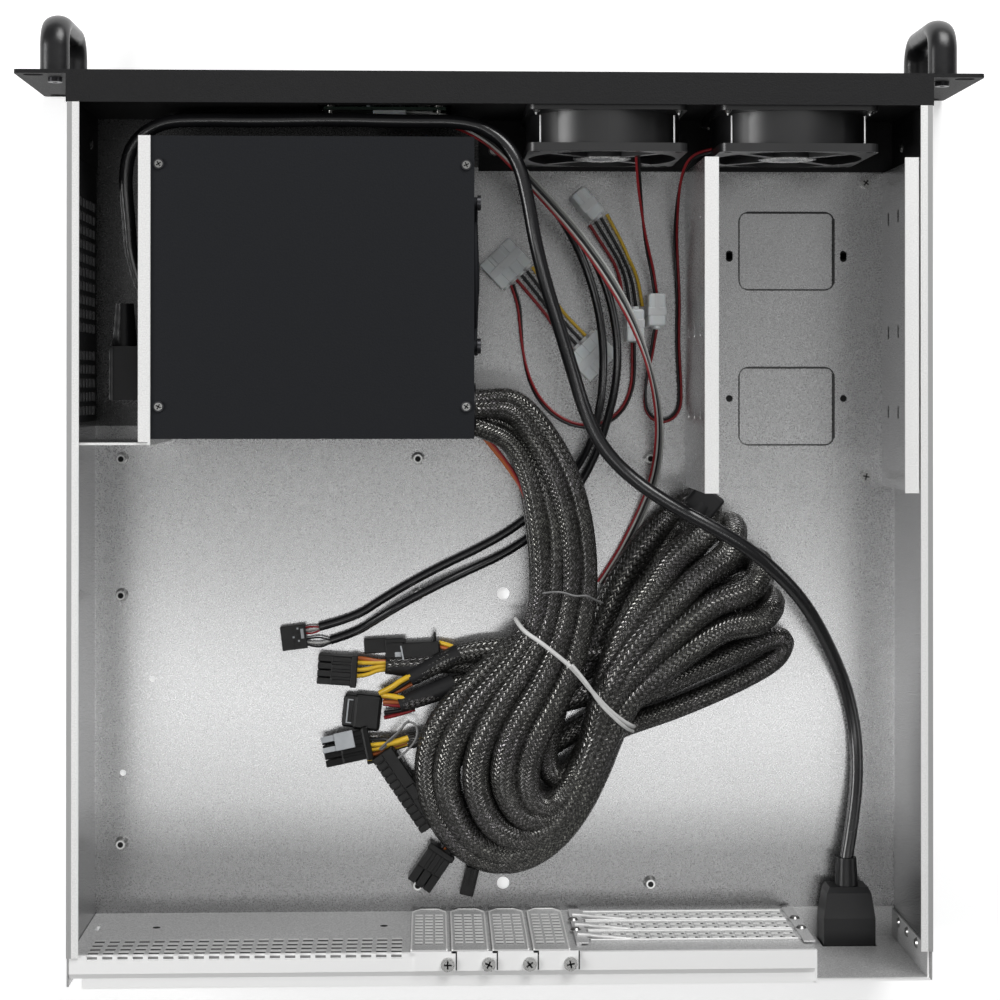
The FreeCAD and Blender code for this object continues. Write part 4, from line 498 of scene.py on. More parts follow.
# ---------------------------------------------------------------------------------------------
# Power connectors. Black nylon housings with a square cell for each pin lie at the cables' ends:
# insulated wires leave them and enter the sleeves under a wrap of black tape.
class Shape:
    """Solids gathered into one mesh, each with its own finish; sizes in millimetres."""

    def __init__(self):
        self.mesh = bmesh.new()
        self.finishes = []
        self.place = Matrix()

    def stand(self, x=0, y=0, z=0, turn=0, lean=0):
        """What follows is placed here, turned about the vertical and leaned about its own length."""
        turned = Matrix.Rotation(math.radians(turn), 4, "Z")
        leaned = Matrix.Rotation(math.radians(lean), 4, "X")
        self.place = Matrix.Translation(Vector((x, y, z)) / 1000) @ turned @ leaned
        return self

    def keep(self, mesh, finish):
        if finish not in self.finishes:
            self.finishes.append(finish)
        for face in mesh.polygons:
            face.material_index = self.finishes.index(finish)
        self.mesh.from_mesh(mesh)
        bpy.data.meshes.remove(mesh)

    def add(self, solid, finish, smooth=False):
        bmesh.ops.transform(solid, matrix=self.place, verts=solid.verts)
        for face in solid.faces:
            face.smooth = smooth and len(face.verts) == 4
        mesh = bpy.data.meshes.new("solid")
        solid.to_mesh(mesh)
        solid.free()
        self.keep(mesh, finish)

    def block(self, low, high, finish, bevel=0.3):
        solid = bmesh.new()
        bmesh.ops.create_cube(solid, size=1.0)
        low, high = Vector(low) / 1000, Vector(high) / 1000
        bmesh.ops.scale(solid, vec=high - low, verts=solid.verts)
        bmesh.ops.translate(solid, vec=(low + high) / 2, verts=solid.verts)
        if bevel:
            bmesh.ops.bevel(solid, geom=solid.edges[:], offset=bevel / 1000, segments=2, profile=0.5,
                            affect="EDGES", clamp_overlap=True)
        self.add(solid, finish)

    def rod(self, start, end, radius, finish, end_radius=None, sides=20):
        start, end = Vector(start) / 1000, Vector(end) / 1000
        way = end - start
        solid = bmesh.new()
        bmesh.ops.create_cone(solid, cap_ends=True, segments=sides, radius1=radius / 1000,
                              radius2=(radius if end_radius is None else end_radius) / 1000, depth=way.length)
        rims = [edge for edge in solid.edges if any(len(face.verts) > 4 for face in edge.link_faces)]
        bmesh.ops.split_edges(solid, edges=rims)
        turn = way.to_track_quat("Z", "Y").to_matrix().to_4x4()
        bmesh.ops.transform(solid, matrix=Matrix.Translation((start + end) / 2) @ turn, verts=solid.verts)
        self.add(solid, finish, smooth=True)

    def wire(self, points, radius, finish):
        """A round wire through these points, given in the case's own frame."""
        line = flesh(route("wire", points), radius / 1000, 2)
        mesh = line.data
        bpy.data.objects.remove(line)
        self.keep(mesh, finish)

    def done(self, name, slot, body="case"):
        mesh = bpy.data.meshes.new(name)
        self.mesh.to_mesh(mesh)
        self.mesh.free()
        for finish in self.finishes:
            mesh.materials.append(finish.material)
        piece = bpy.data.objects.new(name, mesh)
        bpy.context.collection.objects.link(piece)
        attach(piece, body)
        return piece


housing_black = Finish("housing_black", specular_ior_level=0.3)
cloud = housing_black.noise(90.0, 3.0)
housing_black.set(base_color=housing_black.blend(cloud, (0.0025, 0.0025, 0.0025), (0.006, 0.006, 0.006)),
                  roughness=0.22 + cloud * 0.2)
housing_black.bump(housing_black.noise(1400.0, 2.0), 0.15, 0.0002)
latch_grey = Finish("latch_grey")
latch_grey.set(base_color=latch_grey.blend(latch_grey.noise(200.0), (0.36, 0.38, 0.40), (0.52, 0.54, 0.56)),
               roughness=latch_grey.noise(150.0) * 0.2 + 0.3)
painted_recess_shade = Finish("painted_recess_shade", base_color=(0.003, 0.003, 0.003), roughness=0.8)
tape_black = Finish("tape_black", specular_ior_level=0.3)
wrap = tape_black.noise(35.0, 3.0)
tape_black.set(base_color=tape_black.blend(wrap, (0.008, 0.008, 0.0085), (0.019, 0.019, 0.020)),
               roughness=0.34 + wrap * 0.2)
tape_black.bump(tape_black.noise(220.0, 3.0), 0.5, 0.0006)


def power_plug(shape, length, width, height, columns, cell_length=7.0, finish=housing_black):
    """A two-row housing: wires enter at -x under a collar, square cells stand out at +x."""
    back = -length / 2
    face = length / 2 - cell_length
    half = width / 2
    pitch = (width - 1.0) / columns
    shape.block((back, -half, 0.3), (back + 3.4, half, height), finish, 0.5)
    shape.block((back + 3, -half + 0.7, 0.5), (face, half - 0.7, height - 1), finish, 0.4)
    for column in range(columns):
        side = -half + 0.5 + (column + 0.5) * pitch
        shape.block((back + 3.2, side - pitch * 0.33, height - 1.6),
                    (face - 0.6, side + pitch * 0.33, height - 0.1), finish, 0.35)
        for row in range(2):
            low = 0.5 + row * (height - 1.4) / 2
            high = low + (height - 1.4) / 2 - 0.25
            middle = (low + high) / 2
            shape.block((face - 0.5, side - pitch / 2 + 0.2, low), (length / 2, side + pitch / 2 - 0.2, high),
                        finish, 0.5)
            # a near-black rod in each cell's mouth is painted shade
            shape.rod((length / 2 - 0.6, side, middle), (length / 2 + 0.08, side, middle), pitch * 0.27,
                      painted_recess_shade, sides=8)


plugs = Shape()
wire_red, wire_black, wire_yellow, wire_white, grey_wire_and_painted_highlight, wire_orange = wire_finishes.values()

# eight-pin plug with four yellow wires on top
plugs.stand(85, 95.5, 1, -4)
power_plug(plugs, 21, 17, 11.5, 4)
for start, end, finish, low in (
        (89.2, 91.2, wire_orange, 8.6), (91.6, 91.6, wire_yellow, 9), (95.6, 93.4, wire_yellow, 8.8),
        (98.9, 95.2, wire_yellow, 8.4), (91.8, 92.6, wire_black, 4), (97, 95.8, wire_black, 4)):
    plugs.wire([(76, start, low), (70, start * 0.9 + end * 0.1, low + 1.5), (63, end, low + 0.6),
                (56, end, 8.6)], 1.15, finish)
plugs.stand()
plugs.rod((59.5, 93.4, 8.4), (44, 94.6, 8.2), 4.4, tape_black, 5.2, 28)

# flat drive plug, with its step, its rear cover and a small spike on the cover
plugs.stand(50.5, 84.6, 1, 3)
plugs.block((8, -6.2, 1), (20.4, 1.6, 6.6), housing_black, 0.6)
plugs.block((-1, -6, 0.4), (9.2, 5.4, 8), housing_black, 0.6)
plugs.block((-2, -5.6, 7), (8.6, -3.6, 8.6), housing_black, 0.3)
plugs.block((-20, -3.4, 0.2), (0.2, 6.4, 9.4), housing_black, 0.9)
plugs.rod((-16.4, -2.4, 7), (-17.6, -8.2, 8), 1.6, housing_black, 0.6, 10)
plugs.block((0.6, 1.4, 7.2), (4.2, 4, 8.3), latch_grey, 0.3)
plugs.stand()
plugs.wire([(51.4, 83, 9.2), (50.2, 88, 12), (49, 96.5, 11.5)], 0.45, latch_grey)
for side, finish in ((-1.4, wire_yellow), (0.9, wire_orange)):
    plugs.wire([(31, 82.6 + side, 8), (26, 83.4 + side, 10.4), (20, 85.4 + side * 0.6, 12.5)],
               1.1, finish)

# four-pin plug with a round-cornered mouth, its wires and both taped sleeve ends
plugs.stand(71.5, 117.8, 1, -6)
plugs.block((-9.6, -9.4, 0.2), (5, 9.6, 9.6), housing_black, 1.6)
plugs.block((-3, -8.4, 1), (10.4, 8.8, 8.8), housing_black, 1.2)
# the near-black block in the mouth is painted shade
plugs.block((9.6, -6.6, 2.4), (10.8, 7, 7.4), painted_recess_shade, 0.4)
plugs.block((5.6, -5.6, 8.4), (6.2, 6, 9.2), housing_black, 0.2)
for low, high in (((7.8, -5.6, 8.4), (8.6, 6.0, 9.2)), ((5.6, -6.2, 8.4), (8.6, -5.6, 9.2)),
                  ((5.6, 6, 8.4), (8.6, 6.6, 9.2))):
    plugs.block(low, high, latch_grey, 0.2)
plugs.stand()
for points, radius, finish in (
        ([(62.4, 107.6, 10.6), (56.5, 104.6, 14), (50.6, 99.8, 15.6), (43.6, 97, 14.6)],
         1.5, wire_yellow),
        ([(61.4, 109.4, 9), (55, 106.6, 12.4), (44, 98.8, 11.5)], 1.2, wire_black),
        ([(60.6, 110.6, 8.6), (54, 107.6, 10.6), (43, 101.4, 11)], 1.1, wire_orange),
        ([(61, 108.8, 10.2), (56, 108.6, 13.6), (49, 110.4, 15)], 1.5, wire_yellow),
        ([(60.4, 112.6, 9.4), (56, 112, 12), (49, 112.4, 12.8)], 1.2, wire_orange),
        ([(60.4, 113.8, 8), (55, 114.2, 10.8), (48.6, 114.2, 11.8)], 1.1, wire_red),
        ([(60.2, 118.6, 7), (54, 117.8, 8.6), (44, 115.6, 10)], 1.1, wire_black),
        ([(60.2, 121.4, 5.6), (54, 120.2, 7.4), (44, 116.6, 8.4)], 1.1, wire_red)):
    plugs.wire(points, radius, finish)
plugs.rod((46.6, 99.6, 12.2), (20, 86.2, 13.2), 4.3, tape_black, 5.4, 28)
plugs.rod((52, 113.6, 13), (23, 103, 11.4), 4.3, tape_black, 5.6, 28)

# eight-pin plug with a pale latch, turned a little to the light
plugs.stand(79.5, 138, 2.9, 12, 10)
power_plug(plugs, 25, 17, 11.0, 4, 9.0)
plugs.block((-4.6, -8.6, 10.2), (5.6, 0.6, 12.4), latch_grey, 0.4)
plugs.block((5.2, -8.2, 9.8), (12.6, -5, 11.4), latch_grey, 0.3)
plugs.block((5.2, -2.4, 9.8), (12.6, 0.4, 11.4), latch_grey, 0.3)
plugs.block((-12.8, -8.8, -0.4), (-9.6, 8.8, 11.6), housing_black, 0.5)
plugs.stand()
for side, finish, high in ((131.6, wire_black, 12.0), (134.4, wire_yellow, 12.6), (137.0, wire_yellow, 12.0),
                           (139.8, wire_orange, 10.8), (142, wire_yellow, 9.6), (144, wire_black, 8)):
    plugs.wire([(69, side + 1, high - 1.5), (63, side, high), (56, 134.8 + (side - 137) * 0.35, high),
                (46, 132.6 + (side - 137) * 0.3, 11.2)], 1.15, finish)
plugs.wire([(58.6, 133.8, 14), (53, 132.8, 15), (47.6, 131.2, 13.6)], 1.7, wire_yellow)
# two black glossy wires drawn grey, a painted highlight
plugs.wire([(61.6, 137.4, 13), (55, 130.4, 16.5), (51, 126, 17.5), (48.6, 121.6, 17),
            (43, 123, 16.5), (42.4, 130.5, 17), (47.6, 137, 17.5), (52.6, 141, 17.5)],
           0.6, grey_wire_and_painted_highlight)
plugs.wire([(62.6, 137, 13), (57, 131, 17.5), (52, 126.5, 18.5), (47, 121, 17.5)],
           0.55, grey_wire_and_painted_highlight)

# main board plug on its side, two rows of twelve, only its ribbed edge in sight
plugs.stand(47.5, 157.5, 1, 124)
plugs.block((-23.5, -6.4, 0.3), (24, 5, 14.4), housing_black, 0.6)
rib = 3.45
for cell in range(12):
    low = -23.2 + cell * (rib + 0.5)
    plugs.block((low, -7.4, 0.6), (low + rib, -1.4, 15), housing_black, 0.35)
    plugs.block((low, 4.6, 0.6), (low + rib, 5.8, 12), housing_black, 0.3)
plugs.block((-1, -1, 14), (7, 4, 15.8), housing_black, 0.4)

# six-pin plug and a small keyed one past the loop's end
plugs.stand(35.5, 200.6, 1, 56)
power_plug(plugs, 23, 15.6, 11.0, 3, 9.0)
plugs.stand()
for side, finish in ((-3.4, wire_yellow), (0.0, wire_orange), (3.6, wire_black)):
    plugs.wire([(28.5 + side * 0.9, 190.6 + side * 0.6, 8.4), (24 + side, 186.8, 9.6),
                (17 + side, 184, 8.6)], 1.15, finish)
plugs.stand(14.6, 209, 1, 76)
plugs.block((-8, -4, 0.4), (7.4, 3.4, 7), housing_black, 0.6)
plugs.block((-8, -2.6, 6.4), (1.4, -0.8, 7.8), housing_black, 0.3)
plugs.block((-8, 0.6, 6.4), (1.4, 2.4, 7.8), housing_black, 0.3)
plugs = plugs.done("harness_plug_set", "black_plastic")
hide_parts("harness_plugs")

# ---------------------------------------------------------------------------------------------
# Header plug. Both front socket cables end in one black two-row housing with ten small mouths;
# fine wires fan out of the jackets into it.
header = Shape().stand(108.4, 78.6, 1, 7)
header.block((-6.8, -6.4, 0), (6.6, 6.4, 5.8), housing_black, 0.35)
for row in range(2):
    for column in range(5):
        x = -2.6 + row * 2.54
        y = -4.6 + column * 2.2
        # mouths: the near-black ones are painted shade, the grey ones show contacts
        header.block((x - 0.5, y - 0.5, 5.4), (x + 0.5, y + 0.5, 5.85),
                     latch_grey if (row + column) % 3 == 0 else painted_recess_shade, 0.1)
header.block((-5.6, -4.2, 5.4), (-4, 1, 6), latch_grey, 0.15)
header.stand()
for finish, points in (
        (wire_red, [(102.4, 73.6, 4.6), (99.4, 72.4, 6.2), (95, 73.2, 5.4)]),
        (wire_white, [(102.2, 75, 4.8), (98.6, 74.2, 6.6), (94, 73.8, 5.2)]),
        (wire_red, [(102, 76.4, 4.6), (98, 77, 6), (93.6, 74.4, 4.8)]),
        (wire_black, [(101.6, 79.6, 4.6), (97, 78.4, 6), (91.6, 79, 5.6), (88, 80.4, 4.8)]),
        (wire_white, [(101.4, 81.2, 4.4), (96, 82, 5.6), (91, 81, 5.2), (87.6, 80.4, 4.4)]),
        (wire_black, [(101.2, 82.6, 4), (95.6, 84.2, 4.6), (90.6, 82.6, 4.4), (87.2, 81, 4.2)])):
    header.wire(points, 0.5, finish)
header = header.done("header_plug_detail", "black_plastic")
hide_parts("usb_header_plug")

# ---------------------------------------------------------------------------------------------
# Ties and trim. A white twisted tie holds the hank at its waist and a thin grey one the leg. Black
# tape is wrapped round the first fold and folded flat, and three loose wires run beside the leg.
tie_coat = Finish("tie_coat")
tie_coat.set(base_color=tie_coat.blend(tie_coat.noise(300.0), (0.60, 0.60, 0.59), (0.80, 0.80, 0.79)),
             roughness=tie_coat.noise(200.0) * 0.2 + 0.3)
ties = Shape()
ties.wire([(-9, 67, 26), (-10.4, 69, 38), (-13.6, 72, 45.4), (-20, 76, 47),
           (-28, 82.2, 47), (-37.4, 90, 46), (-46, 100.4, 44.6), (-54.6, 110.4, 42),
           (-63, 118, 38), (-70.4, 123, 32), (-71.6, 124, 22)], 1.15, tie_coat)
ties.wire([(-37, 88.4, 47.4), (-44.6, 97, 46.6), (-51, 108, 43.4), (-60, 117.4, 40),
           (-67, 123.6, 35), (-70.6, 126, 26)], 0.95, tie_coat)
ties.wire([(-19, 53, 36), (-21.6, 52, 42.6), (-27, 51, 45), (-33, 51.2, 44.4),
           (-39, 53.4, 45.2), (-45, 52.6, 45.8), (-48.4, 55, 43), (-53.6, 57.6, 36)],
          0.55, grey_wire_and_painted_highlight)
coat(tie_coat, "tie_white")
ties = ties.done("wire_tie_twists", "tie_white")
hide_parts("wire_ties")
trim = Shape()
trim.rod((-99, 14.6, 39.4), (-105.6, 6.8, 38), 6.7, tape_black, 6.7, 28)
trim.stand(-106.4, 4.6, 40.6, -130)
trim.block((-7.5, -8.2, -3.4), (7, 8.2, 3.6), tape_black, 1.4)
trim.stand()
for shift, low, finish in ((0.0, 0.0, wire_orange), (1.3, -1.4, wire_orange), (-1.3, 1.0, wire_red)):
    trim.wire([(13, -35 + shift, 38 + low), (7.5, -28.8 + shift, 37 + low),
               (2.4, -22.6 + shift, 36 + low), (-2.8, -16.2 + shift, 35 + low),
               (-7.6, -9.4 + shift, 34 + low), (-12, -1.6, 33 + low), (-15.6, 8, 31 + low)],
              0.8, finish)
trim.done("cable_trim", "lead_jacket")

# ---------------------------------------------------------------------------------------------
# Galvanised steel. The tray, drive cage and brackets are folded from 1 mm sheet with a spangled
# zinc coat: pale grey and finely grained. The folded tops carry a painted highlight, near white on
# their outer edge; painted shade darkens the corners behind the supply and under the front panel,
# the foot of the rear wall and the inner sides.
galvanised = Finish("galvanised_steel", metallic=0.9)
grain = galvanised.noise(1500.0, 2.0).ramp((0.3, 0.0), (0.7, 1.0))
cloud = galvanised.noise(7.0, 3.0)
across, ahead, height = galvanised.split(galvanised.place())
ledge_height = 0.0845

# masks by place in metres: the folded ledge on top and its outer edge, for the painted highlight,
# and the corners, the foot of the rear wall and the inner sides, for painted shade
folded = height.over(ledge_height)
outer = across.size().over(0.2125)
inside = 1.0 - across.size().over(0.2147)
# painted shade: the corners behind the supply and under the front panel, the foot of the rear wall and the
# inner faces of the side walls
behind_supply = across.over(0.178) * (1.0 - ahead.over(-0.034))
under_panel = 1.0 - ahead.over(-0.1725)
corner = behind_supply.most(under_panel) * (1.0 - folded) * inside
painted_foot_shade = ahead.ramp((0.165, 0.0), (0.195, 1.0)) * (1.0 - height.over(0.004)) * inside
side = across.size().over(0.2110) * inside * height.over(0.004)
plain = galvanised.blend(grain * 0.6 + cloud * 0.4, (0.42, 0.42, 0.422), (0.68, 0.68, 0.685))
# painted shade at the foot of the rear wall and on the inner sides
plain = galvanised.blend(painted_foot_shade * 0.42 + side * 0.3, plain, (0.05, 0.05, 0.05))
# painted shade in the corners behind the supply and under the front panel
plain = galvanised.blend(corner * 0.8, plain, (0.03, 0.03, 0.03))
# painted highlight: the folded tops, near white on their outer edge
painted_top_highlight = galvanised.blend(outer, (1.0, 1.0, 0.99), (0.44, 0.44, 0.44))
painted_top_highlight = galvanised.blend(grain * 0.25, painted_top_highlight, (0.4, 0.4, 0.4))
galvanised.set(base_color=galvanised.blend(folded, plain, painted_top_highlight),
               roughness=0.24 + grain * 0.08 + folded * 0.25, metallic=0.94 - folded * 0.5)
galvanised.bump(grain, 0.03, 0.0001)
coat(galvanised, "galvanised_steel")

# ---------------------------------------------------------------------------------------------
# Rear wall and covers. The wall, the four card covers and the three riser covers with their hook
# are of a duller sheet that scatters more light; the ledge along the top is near white, a painted
# highlight.
pressed_steel = Finish("pressed_steel", metallic=0.45)
grain = pressed_steel.noise(1500.0, 2.0).ramp((0.3, 0.0), (0.7, 1.0))
folded = pressed_steel.split(pressed_steel.place())[2].over(ledge_height)
wall = pressed_steel.blend(grain, (0.50, 0.50, 0.50), (0.80, 0.80, 0.80))
# painted highlight on the folded ledge above the wall
pressed_steel.set(base_color=pressed_steel.blend(folded, wall, (0.97, 0.97, 0.965)),
                  roughness=0.42 + grain * 0.1, metallic=0.45 - folded * 0.4)
pressed_steel.bump(grain, 0.04, 0.0001)
coat(pressed_steel, None, "rear_panel", "slot_covers", "riser_covers", "riser_hook", "riser_strip")

# ---------------------------------------------------------------------------------------------
# Pressed detail of the steel parts: lips of the vents and louvres near white as painted highlight,
# their mouths near black as painted shade, rims of the covers and painted shade lines round the drive
# cage's windows, and cross recesses in the screw heads drawn near black as painted shade.
painted_rim_shade = Finish("painted_rim_shade", base_color=(0.05, 0.05, 0.05), roughness=0.6)
notch_grey = Finish("notch_grey", base_color=(0.22, 0.22, 0.22), roughness=0.6)
bright_edge_and_painted_highlight = Finish("bright_edge_and_painted_highlight", metallic=0.25)
bright_edge_and_painted_highlight.set(base_color=bright_edge_and_painted_highlight.blend(bright_edge_and_painted_highlight.noise(500.0), (0.80, 0.80, 0.79), (0.96, 0.96, 0.95)),
             roughness=bright_edge_and_painted_highlight.noise(300.0) * 0.2 + 0.3)
zinc_plate = Finish("zinc_plate", base_color=(0.50, 0.50, 0.49), metallic=1.0)
zinc_plate.set(roughness=zinc_plate.noise(500.0, 3.0) * 0.2 + 0.18)
zinc_plate.bump(zinc_plate.noise(900.0, 2.0), 0.12, 0.0002)
coat(zinc_plate, "zinc_screws")

card_pitch = 20.32
cover_places = [27.1 - index * card_pitch for index in range(4)]
riser_heights = [19.0 + index * card_pitch for index in range(3)]
fan_places = (-52.8, -149.0)
vent_pitch = 7.5
detail = Shape()

# vent grid of the rear wall and its notches in the ledge; a near-black plate in each vent is painted
# shade, the lip below it a painted highlight
for column in range(21):
    x = 52.5 + column * vent_pitch
    detail.block((x - 2.6, 225.8, 85.1), (x + 2.6, 228, 85.35), notch_grey, 0)
    for row in range(4):
        z = 82.4 - row * 7.4
        detail.block((x - 2.6, 226, z - 1.9), (x + 2.6, 226.2, z + 1.9), painted_recess_shade, 0)
        detail.block((x - 2.6, 225.3, z - 2.1), (x + 2.6, 226.6, z - 1.5), bright_edge_and_painted_highlight, 0)

# card covers: three columns of louvres with near-black mouths as painted shade and lips as painted
# highlight, a raised rim, and a near-black block as painted shade in the gap beside each tongue
rim = [(0.4, 86), (0.4, 8.6), (4.4, 2.9), (14, 2.9), (18, 8.6), (18, 86)]
for edge in cover_places:
    for column in range(3):
        for row in range(10):
            x = edge + 4.0 + column * 5.2
            z = 17 + row * 6.2
            detail.block((x - 1.9, 224.9, z - 0.8), (x + 1.9, 225.1, z + 0.8), painted_recess_shade, 0)
            detail.block((x - 2, 224, z - 1.5), (x + 2, 224.9, z - 0.6), bright_edge_and_painted_highlight, 0)
    for (x, z), (next_x, next_z) in zip(rim, rim[1:]):
        detail.rod((edge + x, 224.4, z), (edge + next_x, 224.4, next_z), 0.45, bright_edge_and_painted_highlight, sides=8)
    detail.block((edge - 4.6, 224.8, 87.2), (edge - 4, 234, 88), painted_recess_shade, 0)

# riser covers: two rows of louvres between two ribs, near-black mouths as painted shade and lips as
# painted highlight, and the curled hook at one end
for z in riser_heights:
    for row in range(2):
        for column in range(16):
            x = -147.6 + column * 6.2
            low = z - 3.5 + row * 7.2
            detail.block((x - 2.2, 224.9, low - 0.9), (x + 2.2, 225.1, low + 0.9), painted_recess_shade, 0)
            detail.block((x - 2.6, 223.9, low - 1.9), (x + 1.4, 224.9, low - 0.9), bright_edge_and_painted_highlight, 0)
            detail.block((x - 0.6, 224.2, low + 0.7), (x + 2.8, 224.9, low + 1.4), bright_edge_and_painted_highlight, 0)
    for side in (-8.7, 8.7):
        detail.rod((-150.6, 224.5, z + side), (-45.4, 224.5, z + side), 0.5, bright_edge_and_painted_highlight, sides=8)
    detail.wire([(-39, 223.2, z + 3), (-45, 223.4, z + 3), (-48.4, 223.4, z + 5.6),
                 (-56, 223.6, z + 7.6), (-66, 224.4, z + 8.4)], 0.8, bright_edge_and_painted_highlight)

# screw heads: a zinc face with its cross recess near black as painted shade, each turned its own way
screw_heads = [(edge, 231.1, 89.8, 3.3) for edge in cover_places]
screw_heads += [(x, y, 4.0, 2.9) for x in (-198.5, -112.0) for y in (-164.7, -6.7)]
screw_heads += [(x, y, 87.9, 2.3) for x in (18.0, 170.0) for y in (-165.0, -45.0)]
for x, y, top, radius in screw_heads:
    turned = 27 + 19 * x + 7 * y
    detail.stand(x, y, top, turned)
    detail.rod((0, 0, -0.3), (0, 0, 0.02), radius * 0.86, zinc_plate)
    for quarter in (0, 90):
        detail.stand(x, y, top, turned + quarter)
        detail.block((-0.6 * radius, -0.13 * radius, -0.1), (0.6 * radius, 0.13 * radius, 0.05), painted_recess_shade, 0)
detail.stand()

# windows in the drive cage's floor: a dark line of painted shade on each side, thicker on the front
# side and the side towards -x, and a round one at each corner
window_sides = (((-181.3, 4), (-181.3, 38.6), 0.75), ((-130.2, 4), (-130.2, 38.6), 0.3),
                ((-177.3, 0.5), (-134.2, 0.5), 0.6), ((-177.3, 42.1), (-134.2, 42.1), 0.35))
window_bends = ((-177.3, 4.5, 180), (-134.2, 4.5, 270), (-134.2, 38.1, 0), (-177.3, 38.1, 90))
for front in (-149.2, -65.8):
    for (x, y), (end_x, end_y), thick in window_sides:
        detail.rod((x, front + y, 1.75), (end_x, front + end_y, 1.75), thick, painted_rim_shade, sides=8)
    for x, y, turned in window_bends:
        bend = []
        for step in (0, 22, 45, 68, 90):
            angle = math.radians(turned + step)
            bend.append((x + 4.0 * math.cos(angle), front + y + 4.0 * math.sin(angle), 1.8))
        detail.wire(bend, 0.45, painted_rim_shade)

# main board seats: a bright ring round each threaded mouth, the mouth near black as painted shade
for y, columns in ((188.0, (199.9,)), (210.9, (42.4, -82.0)), (56.0, (199.9, 42.4, -82.0)),
                   (-16.4, (199.9, 42.4, -82))):
    for x in columns:
        detail.rod((x, y, 6.8), (x, y, 7.04), 2.45, bright_edge_and_painted_highlight, 2.3)
        detail.rod((x, y, 6.8), (x, y, 7.08), 1.5, painted_recess_shade)

# fan screws: their tips stand out behind each corner; the thin bright rod beside each is a painted
# highlight along the frame's edge
for x in fan_places:
    for side in (-35.8, 35.8):
        detail.rod((x + side, -196, 80.8), (x + side, -191, 80.8), 2, bright_edge_and_painted_highlight, 0.3)
        detail.rod((x + side * 0.94, -191, 79), (x + side * 0.94, -175.5, 79), 0.4, bright_edge_and_painted_highlight, sides=8)

# near-black discs as painted shade in the drive screw holes beside the cage's windows and in two
# holes of the rear wall
for x in (-186.6, -124.9):
    for y in (-126.4, -125.2, -124.0, -48.6):
        detail.rod((x, y, 1), (x, y, 1.3), 1.8, painted_recess_shade)
for x in (59.8, 177.6):
    detail.rod((x, 225.65, 32), (x, 226.2, 32), 2, painted_recess_shade)
detail.done("pressed_detail", "galvanised_steel")

# ---------------------------------------------------------------------------------------------
# Front panel and handles. The panel and the bulkhead behind it wear a textured black powder coat,
# the bow handles a smooth satin one; black oxide screws hold the panel to the tray's sides.
powder_coat = Finish("powder_coat", specular_ior_level=0.25)
stipple = powder_coat.noise(1300.0, 3.0)
powder_coat.set(base_color=powder_coat.blend(stipple, (0.006, 0.006, 0.0065), (0.018, 0.018, 0.019)),
                roughness=0.5 + stipple * 0.2)
powder_coat.bump(stipple, 0.5, 0.0004)
coat(powder_coat, "black_paint")

handle_coat = Finish("handle_coat", base_color=(0.010, 0.010, 0.011), specular_ior_level=0.6)
handle_coat.set(roughness=handle_coat.noise(300.0, 3.0) * 0.12 + 0.26)
handle_coat.bump(handle_coat.noise(700.0, 2.0), 0.12, 0.0003)
coat(handle_coat, "handle_black")

black_oxide = Finish("black_oxide", base_color=(0.06, 0.06, 0.065), metallic=0.8)
black_oxide.set(roughness=black_oxide.noise(600.0, 3.0) * 0.2 + 0.2)
coat(black_oxide, "black_screws")
coat(black_oxide, None, "panel_screws")

# ---------------------------------------------------------------------------------------------
# Front board. A green circuit board on steel spacers carries the nickel-plated sockets, the two
# push switches and two small clear lamps.
nickel = Finish("nickel", base_color=(0.60, 0.59, 0.56), metallic=1.0)
nickel.set(roughness=nickel.noise(400.0, 3.0) * 0.15 + 0.15)
coat(nickel, "usb_shell")
coat(nickel, "spacer_steel")

solder_mask = Finish("solder_mask")
green = solder_mask.blend(solder_mask.noise(200.0), (0.002, 0.012, 0.006), (0.003, 0.018, 0.009))
solder_mask.set(base_color=green, roughness=solder_mask.noise(90.0) * 0.1 + 0.25)
coat(solder_mask, "board_green")

lamp_lens = Finish("lamp_lens", specular_ior_level=0.6)
lamp_lens.set(base_color=lamp_lens.blend(lamp_lens.noise(300.0), (0.45, 0.5, 0.52), (0.6, 0.66, 0.68)),
              roughness=lamp_lens.noise(200.0) * 0.1 + 0.12)
coat(lamp_lens, "lamp_plastic")

# ---------------------------------------------------------------------------------------------
# Power supply. Its folded case has a charcoal coat with a fine grain; inlet, switch, grommet and
# the other moulded parts are of black plastic.
supply_coat = Finish("supply_coat", specular_ior_level=0.15)
stipple = supply_coat.noise(1000.0, 3.0)
supply_coat.set(base_color=supply_coat.blend(stipple, (0.010, 0.011, 0.013), (0.017, 0.018, 0.021)),
                roughness=0.6 + stipple * 0.15)
supply_coat.bump(stipple, 0.35, 0.0003)
coat(supply_coat, "psu_paint")

moulded_black = Finish("moulded_black", specular_ior_level=0.35)
cloud = moulded_black.noise(60.0, 3.0)
moulded_black.set(base_color=moulded_black.blend(cloud, (0.004, 0.004, 0.0045), (0.009, 0.009, 0.010)),
                  roughness=0.26 + cloud * 0.14)
moulded_black.bump(moulded_black.noise(1500.0, 2.0), 0.15, 0.0002)
coat(moulded_black, "black_plastic")

# ---------------------------------------------------------------------------------------------
# Nylon plugs. Milky four-pin power plugs join the fan leads and the adapter: two lie flat, three
# stand on edge, each with four round noses.
clear_nylon = Finish("clear_nylon")
cloud = clear_nylon.noise(130.0, 3.0)
clear_nylon.set(base_color=clear_nylon.blend(cloud, (0.82, 0.82, 0.81), (0.97, 0.97, 0.96)),
                roughness=cloud * 0.2 + 0.2, subsurface_weight=0.15)
clear_nylon.bump(clear_nylon.noise(700.0), 0.1, 0.0002)
coat(clear_nylon, "nylon")

